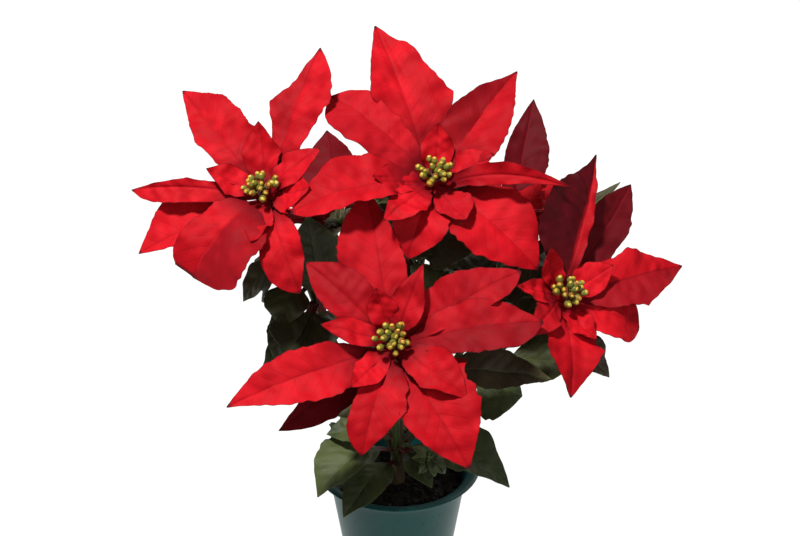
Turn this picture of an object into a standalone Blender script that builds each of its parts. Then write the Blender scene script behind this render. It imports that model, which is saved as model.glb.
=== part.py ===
"""A potted poinsettia: plastic pot, potting soil, woody trunk and six flowering stems.

Every flowering stem is three bodies: a green leafy stem, a head of red bracts and the cluster of
yellow cyathia (the true flowers) in its middle. Lengths are millimetres until a mesh is made.

Headings and reaches of the bracts are laid out in the sight plane: the plane square to the direction
from which the plant is looked at, tilted SIGHT_TILT above the horizon. A head that faces away from
there is laid out in its own plane, square to its axis.
"""

import random
from math import cos, pi, radians, sin, sqrt

import bmesh
import bpy
import numpy as np

MM = 0.001
TOUCH_GAP = 0.3
SEED = 2026

# pot, turned about the world Z axis, standing on Z = 0
POT_HEIGHT = 140.0
POT_RIM_RADIUS = 75.0
POT_BASE_RADIUS = 42.0
POT_WALL = 1.7
POT_FLOOR = 2.4
POT_THROAT_RADIUS = 62.0
POT_THROAT_HEIGHT = 127.0
POT_SIDES = 36
FOOT_ROUNDING = 1.1
# the flared lip, as shares of its reach beyond the throat and of its height above it
LIP_OUTSIDE = ((.17, .42), (.54, .77), (.97, .88), (1, .95), (.93, 1))
LIP_INSIDE = ((.44, .89), (.04, .49))
DRAIN_HOLES = 6
DRAIN_RADIUS = 4.0
DRAIN_CIRCLE_RADIUS = 30.0
DRILL_SIDES = 8
DRILL_SPARE = 1.0

# potting soil
SOIL_TOP = 123.0
SOIL_BUMP = 1.6
SOIL_WALL_GAP = 0.8
SOIL_SIDES = 24
SOIL_RINGS = 4

# trunk, in a plain hole in the soil
TRUNK_FOOT = 96.0
TRUNK_TOP = 188.0
TRUNK_RADIUS = 7.0
TRUNK_TOP_RADIUS = 5.5
TRUNK_COLLAR = 4.0
TRUNK_SIDES = 10

# flowering stems
STEM_RADIUS = 3.4
STEM_TOP_RADIUS = 3.0
STEM_SIDES = 6
STEM_STEPS = 7
STEM_RISE = 1.2
NECK = 28.0

# the top of the stem that carries the bracts
HUB_RADII = (3.2, 3.6, 4.6)
HUB_TOP = 4.0
HUB_SIDES = 6

# cyathia: egg-shaped cups on stalks that spread from a receptacle on top of the hub
RECEPTACLE_RADII = (4.2, 6.6)
RECEPTACLE_DEPTH = 0.6
CYATHIA = 11
CYATHIA_SPREAD = 13.5
CYATHIA_RISE = 9.0
CYATHIA_SAG = 6.0
CYATHIA_UNEVENNESS = 0.8
CYATHIA_FOOT_SPREAD = 5.2
CYATHIA_FOOT_DEPTH = 1.2
BERRY_RADIUS = 3.1
BERRY_LENGTH = 7.4
BERRY_STALK_RADIUS = 1.1
BERRY_WAIST = 0.1
BERRY_SIDES = 5
GOLDEN_ANGLE = radians(137.508)

# blades: bracts and leaves
BLADE_THICKNESS = 0.8
RIB_DEPTH = 1.6
RIB_END = 0.55
STALK_HALF_WIDTH = 1.4
TIP_HALF_WIDTH = 0.5
TIP_PLACE = 0.9
FOLD_AT_STALK = 0.2
FOLD_RAMP = 1.6
ROLL_RAMP = 0.3
EDGE_WAVES = 1.7
EDGE_WAVE_SHIFT = 2.1
WAVE_RAMP_UP = 5
WAVE_RAMP_DOWN = 4
BEND_STRETCH = 4 / 3

SIGHT_TILT = radians(26)
SIGHT_RIGHT = np.array((1.0, 0.0, 0.0))
SIGHT_UP = np.array((0.0, sin(SIGHT_TILT), cos(SIGHT_TILT)))
SIGHT_TOWARD = np.array((0.0, -cos(SIGHT_TILT), sin(SIGHT_TILT)))

# share of the half width at each span of the blade, from where its stalk ends to its tip
SPANS = (0, .14, .30, .41, .52, .64, .78, .90, 1)
POINTED = (.16, .60, .96, 1.0, .92, .74, .46, .20, .02)
OVAL = (.14, .58, .87, .96, 1.0, .92, .66, .34, .02)
TOOTHED = (.14, .56, .80, .84, 1.0, .76, .50, .24, .02)
LOBED = (.14, .62, 1.0, .80, .84, .78, .54, .26, .02)
BLUNT = (.14, .56, .82, .89, .95, 1.0, .95, .66, .06)
SQUARE = (.14, .60, .84, .90, .95, 1.0, 1.0, 1.0, .70)
HIGH = (.14, .50, .62, .70, .92, 1.0, .80, .42, .02)
NOTCHED = (.14, .46, .54, .74, 1.0, .56, .34, .12, .02)
SHOULDER = (.14, .60, .86, 1.0, .80, .66, .48, .20, .02)
BROAD = (.16, .60, .93, 1.0, .97, .86, .62, .34, .02)
CUPPED = (.16, .60, .93, 1.0, .97, .80, .42, .16, .02)
SLENDER = (.14, .54, .86, .97, 1.0, .88, .60, .30, .02)
# spans kept on bracts with neither lobe nor shoulder, on small bracts, and on leaves and the
# bracts of the heads that face away
MOST_SPANS = (0, .14, .30, .52, .64, .78, .90, 1)
FEW_SPANS = (0, .30, .52, .78, 1)
LEAF_SPANS = (0, .18, .38, .58, .80, 1)
LEAF_STALK = 0.28


def bract(heading, reach, halves, lift, seat, arch, edges, **more):
    """A bract: heading in degrees anticlockwise from the right, reach and half widths (left, right of
    its rib) in the sight plane, lift of its tip above the head's plane, depth of its seat below the
    head, height of its arch, outline of its two edges."""
    sizes = dict(heading=heading, reach=reach, halves=halves, lift=lift, seat=seat, arch=arch)
    return {**sizes, "edges": edges, **more}


def leaf(place, tip, face, halves, arch, **more):
    """A leaf: place along its stem from 0 to 1, tip in world coordinates, the way its face looks,
    half widths, height of its arch."""
    return dict(place=place, tip=tip, face=face, halves=halves, arch=arch, **more)


def small(heading, reach, halves, lift, edges=(OVAL, TOOTHED), seat=13, arch=-2):
    """One of the small young bracts close around the cyathia."""
    return bract(heading, reach, halves, lift, seat, arch, edges, spans=FEW_SPANS, fold=6, wave=0.6)


def unit(vector):
    vector = np.asarray(vector, float)
    return vector / np.linalg.norm(vector)


def ring(centre, direction, radius, sides):
    """Corners of a regular ring about the centre, square to the direction."""
    direction = unit(direction)
    across = unit(SIGHT_RIGHT - direction * direction[0])
    beside = np.cross(direction, across)
    angles = np.arange(sides)[:, None] * 2 * pi / sides
    return centre + radius * (across * np.cos(angles) + beside * np.sin(angles))


def trunk_radius(height):
    heights = SOIL_TOP + TRUNK_COLLAR, TRUNK_TOP
    return np.interp(height, heights, (TRUNK_RADIUS, TRUNK_TOP_RADIUS))


class Head:
    """A flowering head and the leafy stem under it."""

    def __init__(self, centre, axis, out, start, pulls, bracts, leaves, faces_away=False):
        self.centre = np.array(centre, float)
        self.axis = unit(axis)
        self.bracts = bracts
        self.leaves = leaves
        self.faces_away = faces_away
        if faces_away:
            up = unit(np.array((0, 1.0, 0)) - self.axis * self.axis[1])
            self.sight = np.cross(up, self.axis), up, self.axis
        else:
            self.sight = SIGHT_RIGHT, SIGHT_UP, SIGHT_TOWARD
        self.curve = self.stem_curve(out, start, pulls)

    def stem_curve(self, out, start, pulls):
        """The four points of the stem's curve, from the trunk to the neck under the head."""
        end = self.centre - self.axis * NECK
        if out is None:
            first = np.array((0, 0, TRUNK_TOP + TOUCH_GAP))
            rise = np.array((0, 0, 1.0))
        else:
            sideways = unit((*out, 0))
            rise = unit(sideways + np.array((0, 0, STEM_RISE)))
            trunk = ring(np.zeros(3), (0, 0, 1), trunk_radius(start), TRUNK_SIDES)
            foot = ring(np.zeros(3), rise, STEM_RADIUS, STEM_SIDES)
            clear = max(trunk @ sideways) + TOUCH_GAP - min(foot @ sideways)
            first = sideways * clear + np.array((0, 0, start))
        return first, first + rise * pulls[0], end - self.axis * pulls[1], end


HEADS = {
    "left": Head(
        centre=(-115, 7, 411), axis=(-.22, -.58, .78), out=(-.97, .24), start=166, pulls=(60, 70),
        bracts=[
            bract(130, 115, (21, 34), 10, seat=20, arch=14, edges=(TOOTHED, LOBED)),
            bract(69, 133, (23, 32), 12, seat=24, arch=12, edges=(NOTCHED, HIGH)),
            bract(180, 114, (14, 8), 4, seat=18, arch=12, edges=(BLUNT, TOOTHED), roll=-28),
            bract(207, 121, (15, 33), -22, seat=25, arch=10, edges=(OVAL, OVAL)),
            bract(231, 95, (54, 26), -20, seat=17, arch=18, edges=(BLUNT, SQUARE)),
            bract(291, 95, (18, 21), -30, seat=20, arch=18, edges=(OVAL, BLUNT)),
            bract(34, 60, (15, 16), 4, seat=15, arch=8, edges=(TOOTHED, OVAL)),
            small(160, 50, (14, 14), 12, edges=(TOOTHED, OVAL)),
            small(0, 42, (15, 20), 8, edges=(OVAL, OVAL)),
            small(94, 58, (17, 17), 12),
            small(262, 46, (13, 14), 2),
        ],
        leaves=[
            leaf(.70, (-136, 14, 300), (-.2, -.3, .95), (24, 15), 16, stalk=.22),
            leaf(.62, (-107, -10, 252), (-.5, -.7, .5), (25, 15), 12, stalk=.22),
            leaf(.56, (-84, -30, 262), (-.1, -.8, .6), (32, 32), 10),
            leaf(.66, (-103, 2, 282), (-.2, -.5, .8), (24, 22), 8),
            leaf(.50, (-78, 24, 378), (.2, -.8, .5), (28, 27), 4),
            leaf(.78, (-119, 49, 282), (-.2, -.3, .9), (27, 27), 10),
            leaf(.46, (-120, 6, 241), (-.3, -.3, .9), (24, 12), 12),
        ],
    ),
    "top": Head(
        centre=(31.5, 7.5, 423), axis=(.04, -.55, .83), out=None, start=TRUNK_TOP, pulls=(80, 90),
        bracts=[
            bract(111, 144, (30, 42), 15, seat=24, arch=14, edges=(TOOTHED, SHOULDER)),
            bract(142, 113, (31, 21), 5, seat=19, arch=16, edges=(BLUNT, BLUNT)),
            bract(52, 117, (25, 36), 15, seat=20, arch=12, edges=(POINTED, POINTED), fold=26),
            bract(354, 113, (12, 9), 20, seat=22, arch=20, edges=(TOOTHED, POINTED), roll=40),
            bract(317, 117, (36, 37), -25, seat=25, arch=18, edges=(OVAL, OVAL)),
            bract(252, 75, (27, 22), -28, seat=18, arch=16, edges=(OVAL, OVAL)),
            bract(195, 125, (20, 29), -8, seat=23, arch=26, edges=(BLUNT, OVAL)),
            small(222, 58, (18, 16), 4, arch=4),
            small(182, 52, (16, 16), 10, edges=(TOOTHED, OVAL)),
            small(20, 52, (17, 18), 10),
            small(86, 44, (14, 15), 13, edges=(OVAL, OVAL)),
            small(303, 46, (18, 14), 3, edges=(OVAL, OVAL)),
        ],
        leaves=[
            leaf(.66, (64, 16, 346), (.2, -.5, .8), (27, 27), 10),
            leaf(.62, (-52, 62, 330), (-.2, -.3, .9), (24, 24), 8),
            leaf(.50, (-14, 84, 374), (0, -.5, .8), (24, 38), 6),
            leaf(.42, (45, 21, 328), (0, -.5, .8), (24, 24), 8),
        ],
    ),
    "front": Head(
        centre=(-4, -93, 320), axis=(-.05, -.68, .73), out=(-.10, -.99), start=148, pulls=(42, 70),
        bracts=[
            bract(202, 145, (28, 22), -5, seat=22, arch=14, edges=(POINTED, OVAL)),
            bract(219, 122, (23, 9), -46, seat=25, arch=10, edges=(OVAL, OVAL)),
            bract(255, 96, (29, 18), -15, seat=19, arch=14, edges=(TOOTHED, BLUNT)),
            bract(301, 119, (45, 28), -15, seat=25, arch=16, edges=(LOBED, OVAL)),
            bract(322, 76, (20, 18), 0, seat=16, arch=10, edges=(OVAL, TOOTHED)),
            bract(7, 123, (24, 23), 8, seat=20, arch=14, edges=(OVAL, BLUNT)),
            bract(28, 119, (25, 17), 10, seat=24, arch=14, edges=(BROAD, BLUNT)),
            bract(68, 67, (15, 15), 20, seat=15, arch=4, edges=(POINTED, POINTED)),
            bract(100, 129, (34, 22), 0, seat=25, arch=12, edges=(OVAL, POINTED)),
            bract(139, 96, (20, 22), 0, seat=18, arch=14, edges=(OVAL, OVAL)),
            small(168, 60, (12, 12), 6, edges=(TOOTHED, OVAL), arch=4),
            small(228, 50, (14, 14), 4),
            small(108, 44, (13, 13), 13, edges=(OVAL, OVAL)),
        ],
        leaves=[
            leaf(.16, (-70, -70, 151), (-.3, -.3, .9), (23, 32), 22, stalk=.2),
            leaf(.03, (-47, -86, 141), (-.1, -.4, .9), (20, 20), 12, stalk=.15),
            leaf(.14, (98, -62, 156), (.3, -.3, .9), (33, 24), 24, stalk=.2),
            leaf(.22, (30, -66, 158), (.1, -.5, .8), (12, 12), 8),
            leaf(.80, (129, -64, 267), (.1, -.5, .8), (20, 20), 10),
            leaf(.30, (-63, -29, 190), (-.2, -.2, .9), (18, 18), 5),
            leaf(.70, (-58, -68, 234), (-.2, -.5, .8), (22, 22), 8),
        ],
    ),
    "right": Head(
        centre=(141, -54, 343), axis=(.40, -.58, .71), out=(.93, -.36), start=170, pulls=(60, 70),
        bracts=[
            bract(12, 107, (25, 29), 5, seat=20, arch=12, edges=(TOOTHED, TOOTHED)),
            bract(334, 71, (23, 24), -10, seat=24, arch=12, edges=(BLUNT, BLUNT)),
            bract(270, 85, (29, 27), -10, seat=19, arch=12, edges=(TOOTHED, TOOTHED)),
            bract(56, 113, (21, 19), 0, seat=25, arch=12, edges=(OVAL, OVAL)),
            bract(76, 121, (47, 8), 22, seat=18, arch=12, edges=(CUPPED, POINTED), fold=22, skew=-.2),
            bract(224, 50, (14, 14), -2, seat=15, arch=8, edges=(OVAL, TOOTHED)),
            small(172, 45, (11, 11), 5, edges=(POINTED, POINTED), arch=2),
            small(112, 40, (13, 13), 12, edges=(OVAL, OVAL)),
            small(30, 46, (15, 14), 10, edges=(OVAL, OVAL)),
            small(300, 44, (13, 13), 3, edges=(OVAL, OVAL)),
        ],
        leaves=[
            leaf(.88, (182, -43, 256), (.7, -.6, .3), (17, 17), 10),
            leaf(.40, (109, -29, 229), (.1, -.6, .8), (30, 37), 10, edges=(LOBED, SLENDER)),
            leaf(.70, (131, 26, 329), (0, -.7, .7), (25, 25), 5),
            leaf(.56, (154, -28, 260), (0, -.6, .8), (24, 24), 8),
        ],
    ),
    "back_right": Head(
        centre=(105, 76, 358), axis=(.22, .12, .97), out=(.75, .66), start=156, pulls=(55, 80),
        faces_away=True,
        bracts=[
            bract(86, 98, (17, 25), 84, seat=22, arch=-8, edges=(OVAL, OVAL)),
            bract(42, 104, (24, 26), 24, seat=19, arch=8, edges=(TOOTHED, OVAL)),
            bract(338, 80, (23, 22), 12, seat=24, arch=10, edges=(OVAL, TOOTHED)),
            bract(296, 46, (18, 20), 20, seat=18, arch=4, edges=(OVAL, TOOTHED)),
            bract(245, 54, (20, 18), 20, seat=22, arch=4, edges=(TOOTHED, OVAL)),
            bract(190, 78, (20, 22), 18, seat=20, arch=6, edges=(OVAL, TOOTHED)),
            bract(128, 108, (26, 24), 28, seat=24, arch=8, edges=(TOOTHED, OVAL)),
            small(60, 46, (14, 14), 18),
            small(200, 42, (14, 14), 14),
            small(320, 40, (13, 13), 14, edges=(OVAL, OVAL)),
        ],
        leaves=[
            leaf(.80, (199, 82, 385), (0, -.4, .9), (12, 12), 0),
            leaf(.74, (160, 122, 296), (.4, .3, .8), (27, 27), 12),
            leaf(.60, (82, 150, 300), (.1, .5, .8), (27, 27), 12),
            leaf(.44, (128, 66, 232), (.4, .2, .9), (27, 27), 12),
        ],
    ),
    "back_left": Head(
        centre=(-66, 95, 356), axis=(-.30, .30, .90), out=(-.55, .84), start=150, pulls=(50, 80),
        faces_away=True,
        bracts=[
            bract(84, 86, (32, 26), 62, seat=22, arch=-6, edges=(OVAL, OVAL)),
            bract(112, 112, (26, 28), 10, seat=19, arch=10, edges=(TOOTHED, OVAL)),
            bract(158, 108, (25, 26), 8, seat=24, arch=10, edges=(OVAL, TOOTHED)),
            bract(205, 74, (20, 22), 4, seat=18, arch=8, edges=(OVAL, TOOTHED)),
            bract(262, 38, (15, 15), 8, seat=22, arch=4, edges=(TOOTHED, OVAL)),
            bract(318, 44, (16, 16), 8, seat=19, arch=5, edges=(OVAL, TOOTHED)),
            bract(15, 84, (22, 24), 10, seat=25, arch=8, edges=(TOOTHED, OVAL)),
            small(90, 46, (14, 14), 13),
            small(10, 42, (14, 14), 11),
            small(190, 42, (13, 14), 10),
        ],
        leaves=[
            leaf(.84, (-130, 128, 300), (-.4, .3, .8), (26, 26), 12),
            leaf(.70, (-34, 156, 296), (.1, .5, .8), (27, 27), 12),
            leaf(.52, (-104, 76, 240), (-.4, .2, .9), (27, 27), 12),
            leaf(.34, (-6, 92, 222), (0, .4, .9), (25, 25), 12),
        ],
    ),
}


def along_curve(curve, places):
    """Points and directions of a cubic curve at places from 0 to 1."""
    a, b, c, d = curve
    t = np.asarray(places, float)[:, None]
    s = 1 - t
    points = s**3 * a + 3 * s**2 * t * b + 3 * s * t**2 * c + t**3 * d
    directions = s**2 * (b - a) + 2 * s * t * (c - b) + t**2 * (d - c)
    return points, directions


def blade(root, tip, face, halves, arch, edges, skew=0.0, roll=0.0, fold=12.0, stalk=0.12, wave=1.2,
          phase=0.0, spans=None):
    """Vertices and faces of one closed blade with a fold at its rib, thicker under the rib at the
    stalk. Its rows run from root to tip: left edge, rib and right edge on the upper side, then the
    same three on the lower side."""
    chord = tip - root
    normal = unit(face - chord * (face @ chord) / (chord @ chord))
    bend = normal * arch * BEND_STRETCH
    curve = root, root + chord / 3 + bend * (1 - skew), root + chord * 2 / 3 + bend * (1 + skew), tip
    spans = spans or (SPANS if LOBED in edges or SHOULDER in edges else MOST_SPANS)
    places = [0] + [stalk + (1 - stalk) * span for span in spans]
    sides = (-1, edges[0], halves[0], EDGE_WAVE_SHIFT), (1, edges[1], halves[1], 0)
    upper, lower = [], []
    for place, point, direction in zip(places, *along_curve(curve, places)):
        direction = unit(direction)
        out = unit(normal - direction * (normal @ direction))
        side = np.cross(direction, out)
        turn = radians(roll) * min(1, place / ROLL_RAMP)
        out, side = out * cos(turn) + side * sin(turn), side * cos(turn) - out * sin(turn)
        span = max(0.0, (place - stalk) / (1 - stalk))
        slope = radians(fold) * min(1, FOLD_AT_STALK + FOLD_RAMP * span)
        least = STALK_HALF_WIDTH if place < TIP_PLACE else TIP_HALF_WIDTH
        swing = wave * min(1, WAVE_RAMP_UP * span, WAVE_RAMP_DOWN * (1 - span))
        row = []
        for sign, edge, half, shift in sides:
            width = max(least, half * np.interp(span, SPANS, edge))
            ripple = swing * sin(2 * pi * EDGE_WAVES * span + phase + shift)
            row.append(point + side * sign * width * cos(slope) + out * (width * sin(slope) + ripple))
        row.insert(1, point)
        rib = RIB_DEPTH * max(0.0, 1 - place / RIB_END)
        depths = BLADE_THICKNESS, BLADE_THICKNESS + rib, BLADE_THICKNESS
        upper += row
        lower += [corner - out * depth for corner, depth in zip(row, depths)]
    return upper + lower, blade_faces(len(places))


def blade_faces(rows):
    """Triangles of a closed blade of 3 columns; the lower side is split along the same diagonals."""
    under = 3 * rows
    faces = []
    for row in range(rows - 1):
        for column in range(2):
            a = 3 * row + column
            b, c, d = a + 1, a + 4, a + 3
            faces += [(a, b, c), (a, c, d)]
            faces += [(under + a, under + c, under + b), (under + a, under + d, under + c)]
        left, right = 3 * row, 3 * row + 2
        faces += [(left, left + 3, under + left + 3), (left, under + left + 3, under + left)]
        faces += [(right, under + right, under + right + 3), (right, under + right + 3, right + 3)]
    last = 3 * (rows - 1)
    for column in range(2):
        a, b = column, column + 1
        faces += [(a, under + a, under + b), (a, under + b, b)]
        a, b = last + column, last + column + 1
        faces += [(a, under + b, under + a), (a, b, under + b)]
    return faces


def tube(points, radii, sides, directions=None):
    """Vertices and faces of a closed tube through the points, with flat ends square to it."""
    points = np.array(points, float)
    if directions is None:
        directions = np.gradient(points, axis=0)
    rings = [ring(*stop, sides) for stop in zip(points, directions, radii)]
    vertices, faces = list(np.concatenate(rings)), []
    for step in range(len(points) - 1):
        for side in range(sides):
            a, b = step * sides + side, step * sides + (side + 1) % sides
            faces.append((a, b, b + sides, a + sides))
    end = len(vertices) - sides
    faces += [tuple(reversed(range(sides))), tuple(range(end, end + sides))]
    return vertices, faces


def bract_blade(head, row):
    """The blade of one bract, rooted in the hub of its head."""
    row = dict(row)
    right, up, toward = head.sight
    heading, reach, lift, seat = (row.pop(key) for key in ("heading", "reach", "lift", "seat"))
    flat = (right * cos(radians(heading)) + up * sin(radians(heading))) * reach
    tip = head.centre + flat + toward * (lift - flat @ head.axis) / (toward @ head.axis)
    outward = unit(flat - head.axis * (flat @ head.axis))
    if head.faces_away:
        row = {"spans": LEAF_SPANS, **row}
    return blade(head.centre - head.axis * seat + outward, tip, head.axis, **row)


def leaf_blade(head, row):
    """The blade of one leaf, rooted in its stem."""
    row = {"edges": (SLENDER, SLENDER), "stalk": LEAF_STALK, "spans": LEAF_SPANS, **row}
    place, tip, face = (row.pop(key) for key in ("place", "tip", "face"))
    root = along_curve(head.curve, [place])[0][0]
    return blade(root, np.array(tip, float), unit(face), **row)


def berry(head, number, draw):
    """One cyathium: a stalk rooted in the receptacle with an egg-shaped cup at its end."""
    share = sqrt((number + 0.5) / CYATHIA)
    angle = number * GOLDEN_ANGLE + draw.uniform(-0.15, 0.15)
    across = unit(SIGHT_RIGHT - head.axis * head.axis[0])
    outward = across * cos(angle) + np.cross(head.axis, across) * sin(angle)
    height = CYATHIA_RISE - CYATHIA_SAG * share**2 + draw.uniform(-CYATHIA_UNEVENNESS, CYATHIA_UNEVENNESS)
    middle = head.centre + outward * CYATHIA_SPREAD * share + head.axis * height
    root = head.centre + outward * CYATHIA_FOOT_SPREAD * share - head.axis * CYATHIA_FOOT_DEPTH
    direction = unit(middle - root)
    waist = middle - direction * BERRY_LENGTH * BERRY_WAIST
    end = middle + direction * BERRY_LENGTH / 2
    radii = BERRY_STALK_RADIUS, BERRY_RADIUS * draw.uniform(0.9, 1.05), BERRY_RADIUS / 2
    return tube((root, waist, end), radii, BERRY_SIDES)


def new_object(name, vertices, faces, material):
    """An object with a mesh of its own, from vertices in millimetres."""
    mesh = bpy.data.meshes.new(name)
    mesh.from_pydata([tuple(np.asarray(v, float) * MM) for v in vertices], [], faces)
    mesh.materials.append(material)
    body = bpy.data.objects.new(name, mesh)
    bpy.context.scene.collection.objects.link(body)
    return body


def fused(name, core, blades, material):
    """One body: the core and the blades that stand out of it, joined by one union."""
    body = new_object(name, *core, material)
    group = bpy.data.collections.new(name + "_blades")
    for number, (vertices, faces) in enumerate(blades):
        piece = new_object(f"{name}_{number}", vertices, faces, material)
        bpy.context.scene.collection.objects.unlink(piece)
        group.objects.link(piece)
    join = body.modifiers.new("Join", "BOOLEAN")
    join.operation = "UNION"
    join.operand_type = "COLLECTION"
    join.collection = group
    depsgraph = bpy.context.evaluated_depsgraph_get()
    joined = bpy.data.meshes.new_from_object(body.evaluated_get(depsgraph))
    body.modifiers.clear()
    body.data = joined
    for piece in list(group.objects):
        bpy.data.objects.remove(piece)
    bpy.data.collections.remove(group)
    return body


def new_material(name, color, roughness):
    """A Principled material of one colour, given as red, green and blue from 0 to 1."""
    material = bpy.data.materials.new(name)
    material.use_nodes = True
    shader = material.node_tree.nodes["Principled BSDF"]
    shader.inputs["Base Color"].default_value = (*color, 1.0)
    shader.inputs["Roughness"].default_value = roughness
    shader.inputs["Metallic"].default_value = 0.0
    return material


def turned(name, profile, sides, material):
    """A body turned about the world Z axis from a profile whose two ends lie on the axis."""
    shape = bmesh.new()
    corners = [shape.verts.new((radius * MM, 0, height * MM)) for radius, height in profile]
    rim = [shape.edges.new(pair) for pair in zip(corners, corners[1:])]
    round_z = dict(cent=(0, 0, 0), axis=(0, 0, 1), angle=2 * pi)
    bmesh.ops.spin(shape, geom=corners + rim, steps=sides, use_merge=True, **round_z)
    bmesh.ops.remove_doubles(shape, verts=shape.verts, dist=1e-6)
    bmesh.ops.recalc_face_normals(shape, faces=shape.faces)
    mesh = bpy.data.meshes.new(name)
    shape.to_mesh(mesh)
    shape.free()
    mesh.shade_smooth()
    mesh.set_sharp_from_angle(angle=radians(35))
    mesh.materials.append(material)
    body = bpy.data.objects.new(name, mesh)
    bpy.context.scene.collection.objects.link(body)
    return body


def wall_radius(height):
    """Inner radius of the pot's wall at a height, from its floor to its throat."""
    share = (height - POT_FLOOR) / (POT_THROAT_HEIGHT - POT_FLOOR)
    return POT_BASE_RADIUS - POT_WALL + (POT_THROAT_RADIUS - POT_BASE_RADIUS) * share


def make_pot(material):
    """A tapered pot with a flared lip and drain holes in its floor."""
    reach, height = POT_RIM_RADIUS - POT_THROAT_RADIUS, POT_HEIGHT - POT_THROAT_HEIGHT
    outside, inside = (
        [(POT_THROAT_RADIUS + reach * out, POT_THROAT_HEIGHT + height * up) for out, up in lip]
        for lip in (LIP_OUTSIDE, LIP_INSIDE)
    )
    foot = [(0, 0), (POT_BASE_RADIUS - FOOT_ROUNDING, 0), (POT_BASE_RADIUS, FOOT_ROUNDING)]
    outer = [*foot, (POT_THROAT_RADIUS, POT_THROAT_HEIGHT), *outside]
    wall = [(wall_radius(level), level) for level in (POT_THROAT_HEIGHT, POT_FLOOR)]
    inner = [*inside, *wall, (0, POT_FLOOR)]
    pot = turned("pot", outer + inner, POT_SIDES, material)
    for number in range(DRAIN_HOLES):
        angle = 2 * pi * number / DRAIN_HOLES + pi / POT_SIDES
        low, high = -DRILL_SPARE, POT_FLOOR + DRILL_SPARE
        profile = [(0, low), (DRAIN_RADIUS, low), (DRAIN_RADIUS, high), (0, high)]
        drill = turned(f"drain_drill_{number}", profile, DRILL_SIDES, material)
        drill.location = (DRAIN_CIRCLE_RADIUS * cos(angle) * MM, DRAIN_CIRCLE_RADIUS * sin(angle) * MM, 0)
        drill.hide_render = True
        drill.display_type = "WIRE"
        hole = pot.modifiers.new(f"Drain hole {number}", "BOOLEAN")
        hole.operation = "DIFFERENCE"
        hole.object = drill
    return pot


def make_soil(material, draw):
    """Potting soil that fills the pot, with a bumpy top and a plain hole for the trunk."""
    foot = POT_FLOOR + TOUCH_GAP
    hole = TRUNK_RADIUS + TOUCH_GAP
    shoulder = SOIL_TOP - 2 * SOIL_BUMP
    edge = wall_radius(shoulder) - SOIL_WALL_GAP
    across = [edge + (hole - edge) * step / SOIL_RINGS for step in range(SOIL_RINGS + 1)]
    profile = [(0, foot), (wall_radius(foot) - SOIL_WALL_GAP, foot), (edge, shoulder)]
    profile += [(radius, SOIL_TOP) for radius in across[1:]]
    profile += [(hole, TRUNK_FOOT - TOUCH_GAP), (0, TRUNK_FOOT - TOUCH_GAP)]
    soil = turned("soil", profile, SOIL_SIDES, material)
    for vertex in soil.data.vertices:
        if vertex.co.z > (SOIL_TOP - SOIL_BUMP) * MM:
            vertex.co.z += draw.uniform(-SOIL_BUMP, SOIL_BUMP) * MM
    return soil


def make_trunk(material):
    heights = TRUNK_FOOT, SOIL_TOP + TRUNK_COLLAR, TRUNK_TOP
    stops = [(0, 0, height) for height in heights]
    vertices, faces = tube(stops, [trunk_radius(height) for height in heights], TRUNK_SIDES)
    return new_object("trunk", vertices, faces, material)


def make_head(name, head, materials, draw):
    """The leafy stem, the bracts and the cyathia of one flowering stem."""
    points, directions = along_curve(head.curve, np.linspace(0, 1, STEM_STEPS + 1))
    radii = np.linspace(STEM_RADIUS, STEM_TOP_RADIUS, STEM_STEPS + 1)
    stem = tube(points, radii, STEM_SIDES, directions)
    fused(name + "_stem", stem, [leaf_blade(head, row) for row in head.leaves], materials["leaf"])
    depths = NECK - TOUCH_GAP, NECK / 2, HUB_TOP
    hub = tube([head.centre - head.axis * depth for depth in depths], HUB_RADII, HUB_SIDES)
    fused(name + "_bracts", hub, [bract_blade(head, row) for row in head.bracts], materials["bract"])
    depths = HUB_TOP - TOUCH_GAP, RECEPTACLE_DEPTH
    receptacle = tube([head.centre - head.axis * depth for depth in depths], RECEPTACLE_RADII, HUB_SIDES)
    berries = [berry(head, number, draw) for number in range(CYATHIA)]
    fused(name + "_cyathia", receptacle, berries, materials["cyathium"])


def build():
    for body in list(bpy.data.objects):
        bpy.data.objects.remove(body)
    draw = random.Random(SEED)
    materials = {
        "pot": new_material("teal plastic", (0.042, 0.100, 0.098), 0.38),
        "soil": new_material("potting soil", (0.012, 0.010, 0.010), 0.95),
        "trunk": new_material("brown bark", (0.110, 0.085, 0.050), 0.8),
        "leaf": new_material("green leaf", (0.035, 0.055, 0.020), 0.55),
        "bract": new_material("red bract", (0.760, 0.018, 0.030), 0.5),
        "cyathium": new_material("yellow cyathium", (0.480, 0.360, 0.050), 0.45),
    }
    make_pot(materials["pot"])
    make_soil(materials["soil"], draw)
    make_trunk(materials["trunk"])
    for name, head in HEADS.items():
        make_head(name, head, materials, draw)


if __name__ == "__main__":
    build()
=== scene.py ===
"""Looks of a potted poinsettia: veined red bracts, yellow cyathia, dark leaves, soil and a teal pot.

Lengths are millimetres until a mesh is made. The bracts and leaves stand in the places that the
solids of the frame have, from the same sizes, with many more rows, veins, folds and wavy edges.
"""

import random
from math import cos, pi, radians, sin, sqrt, tan

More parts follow.
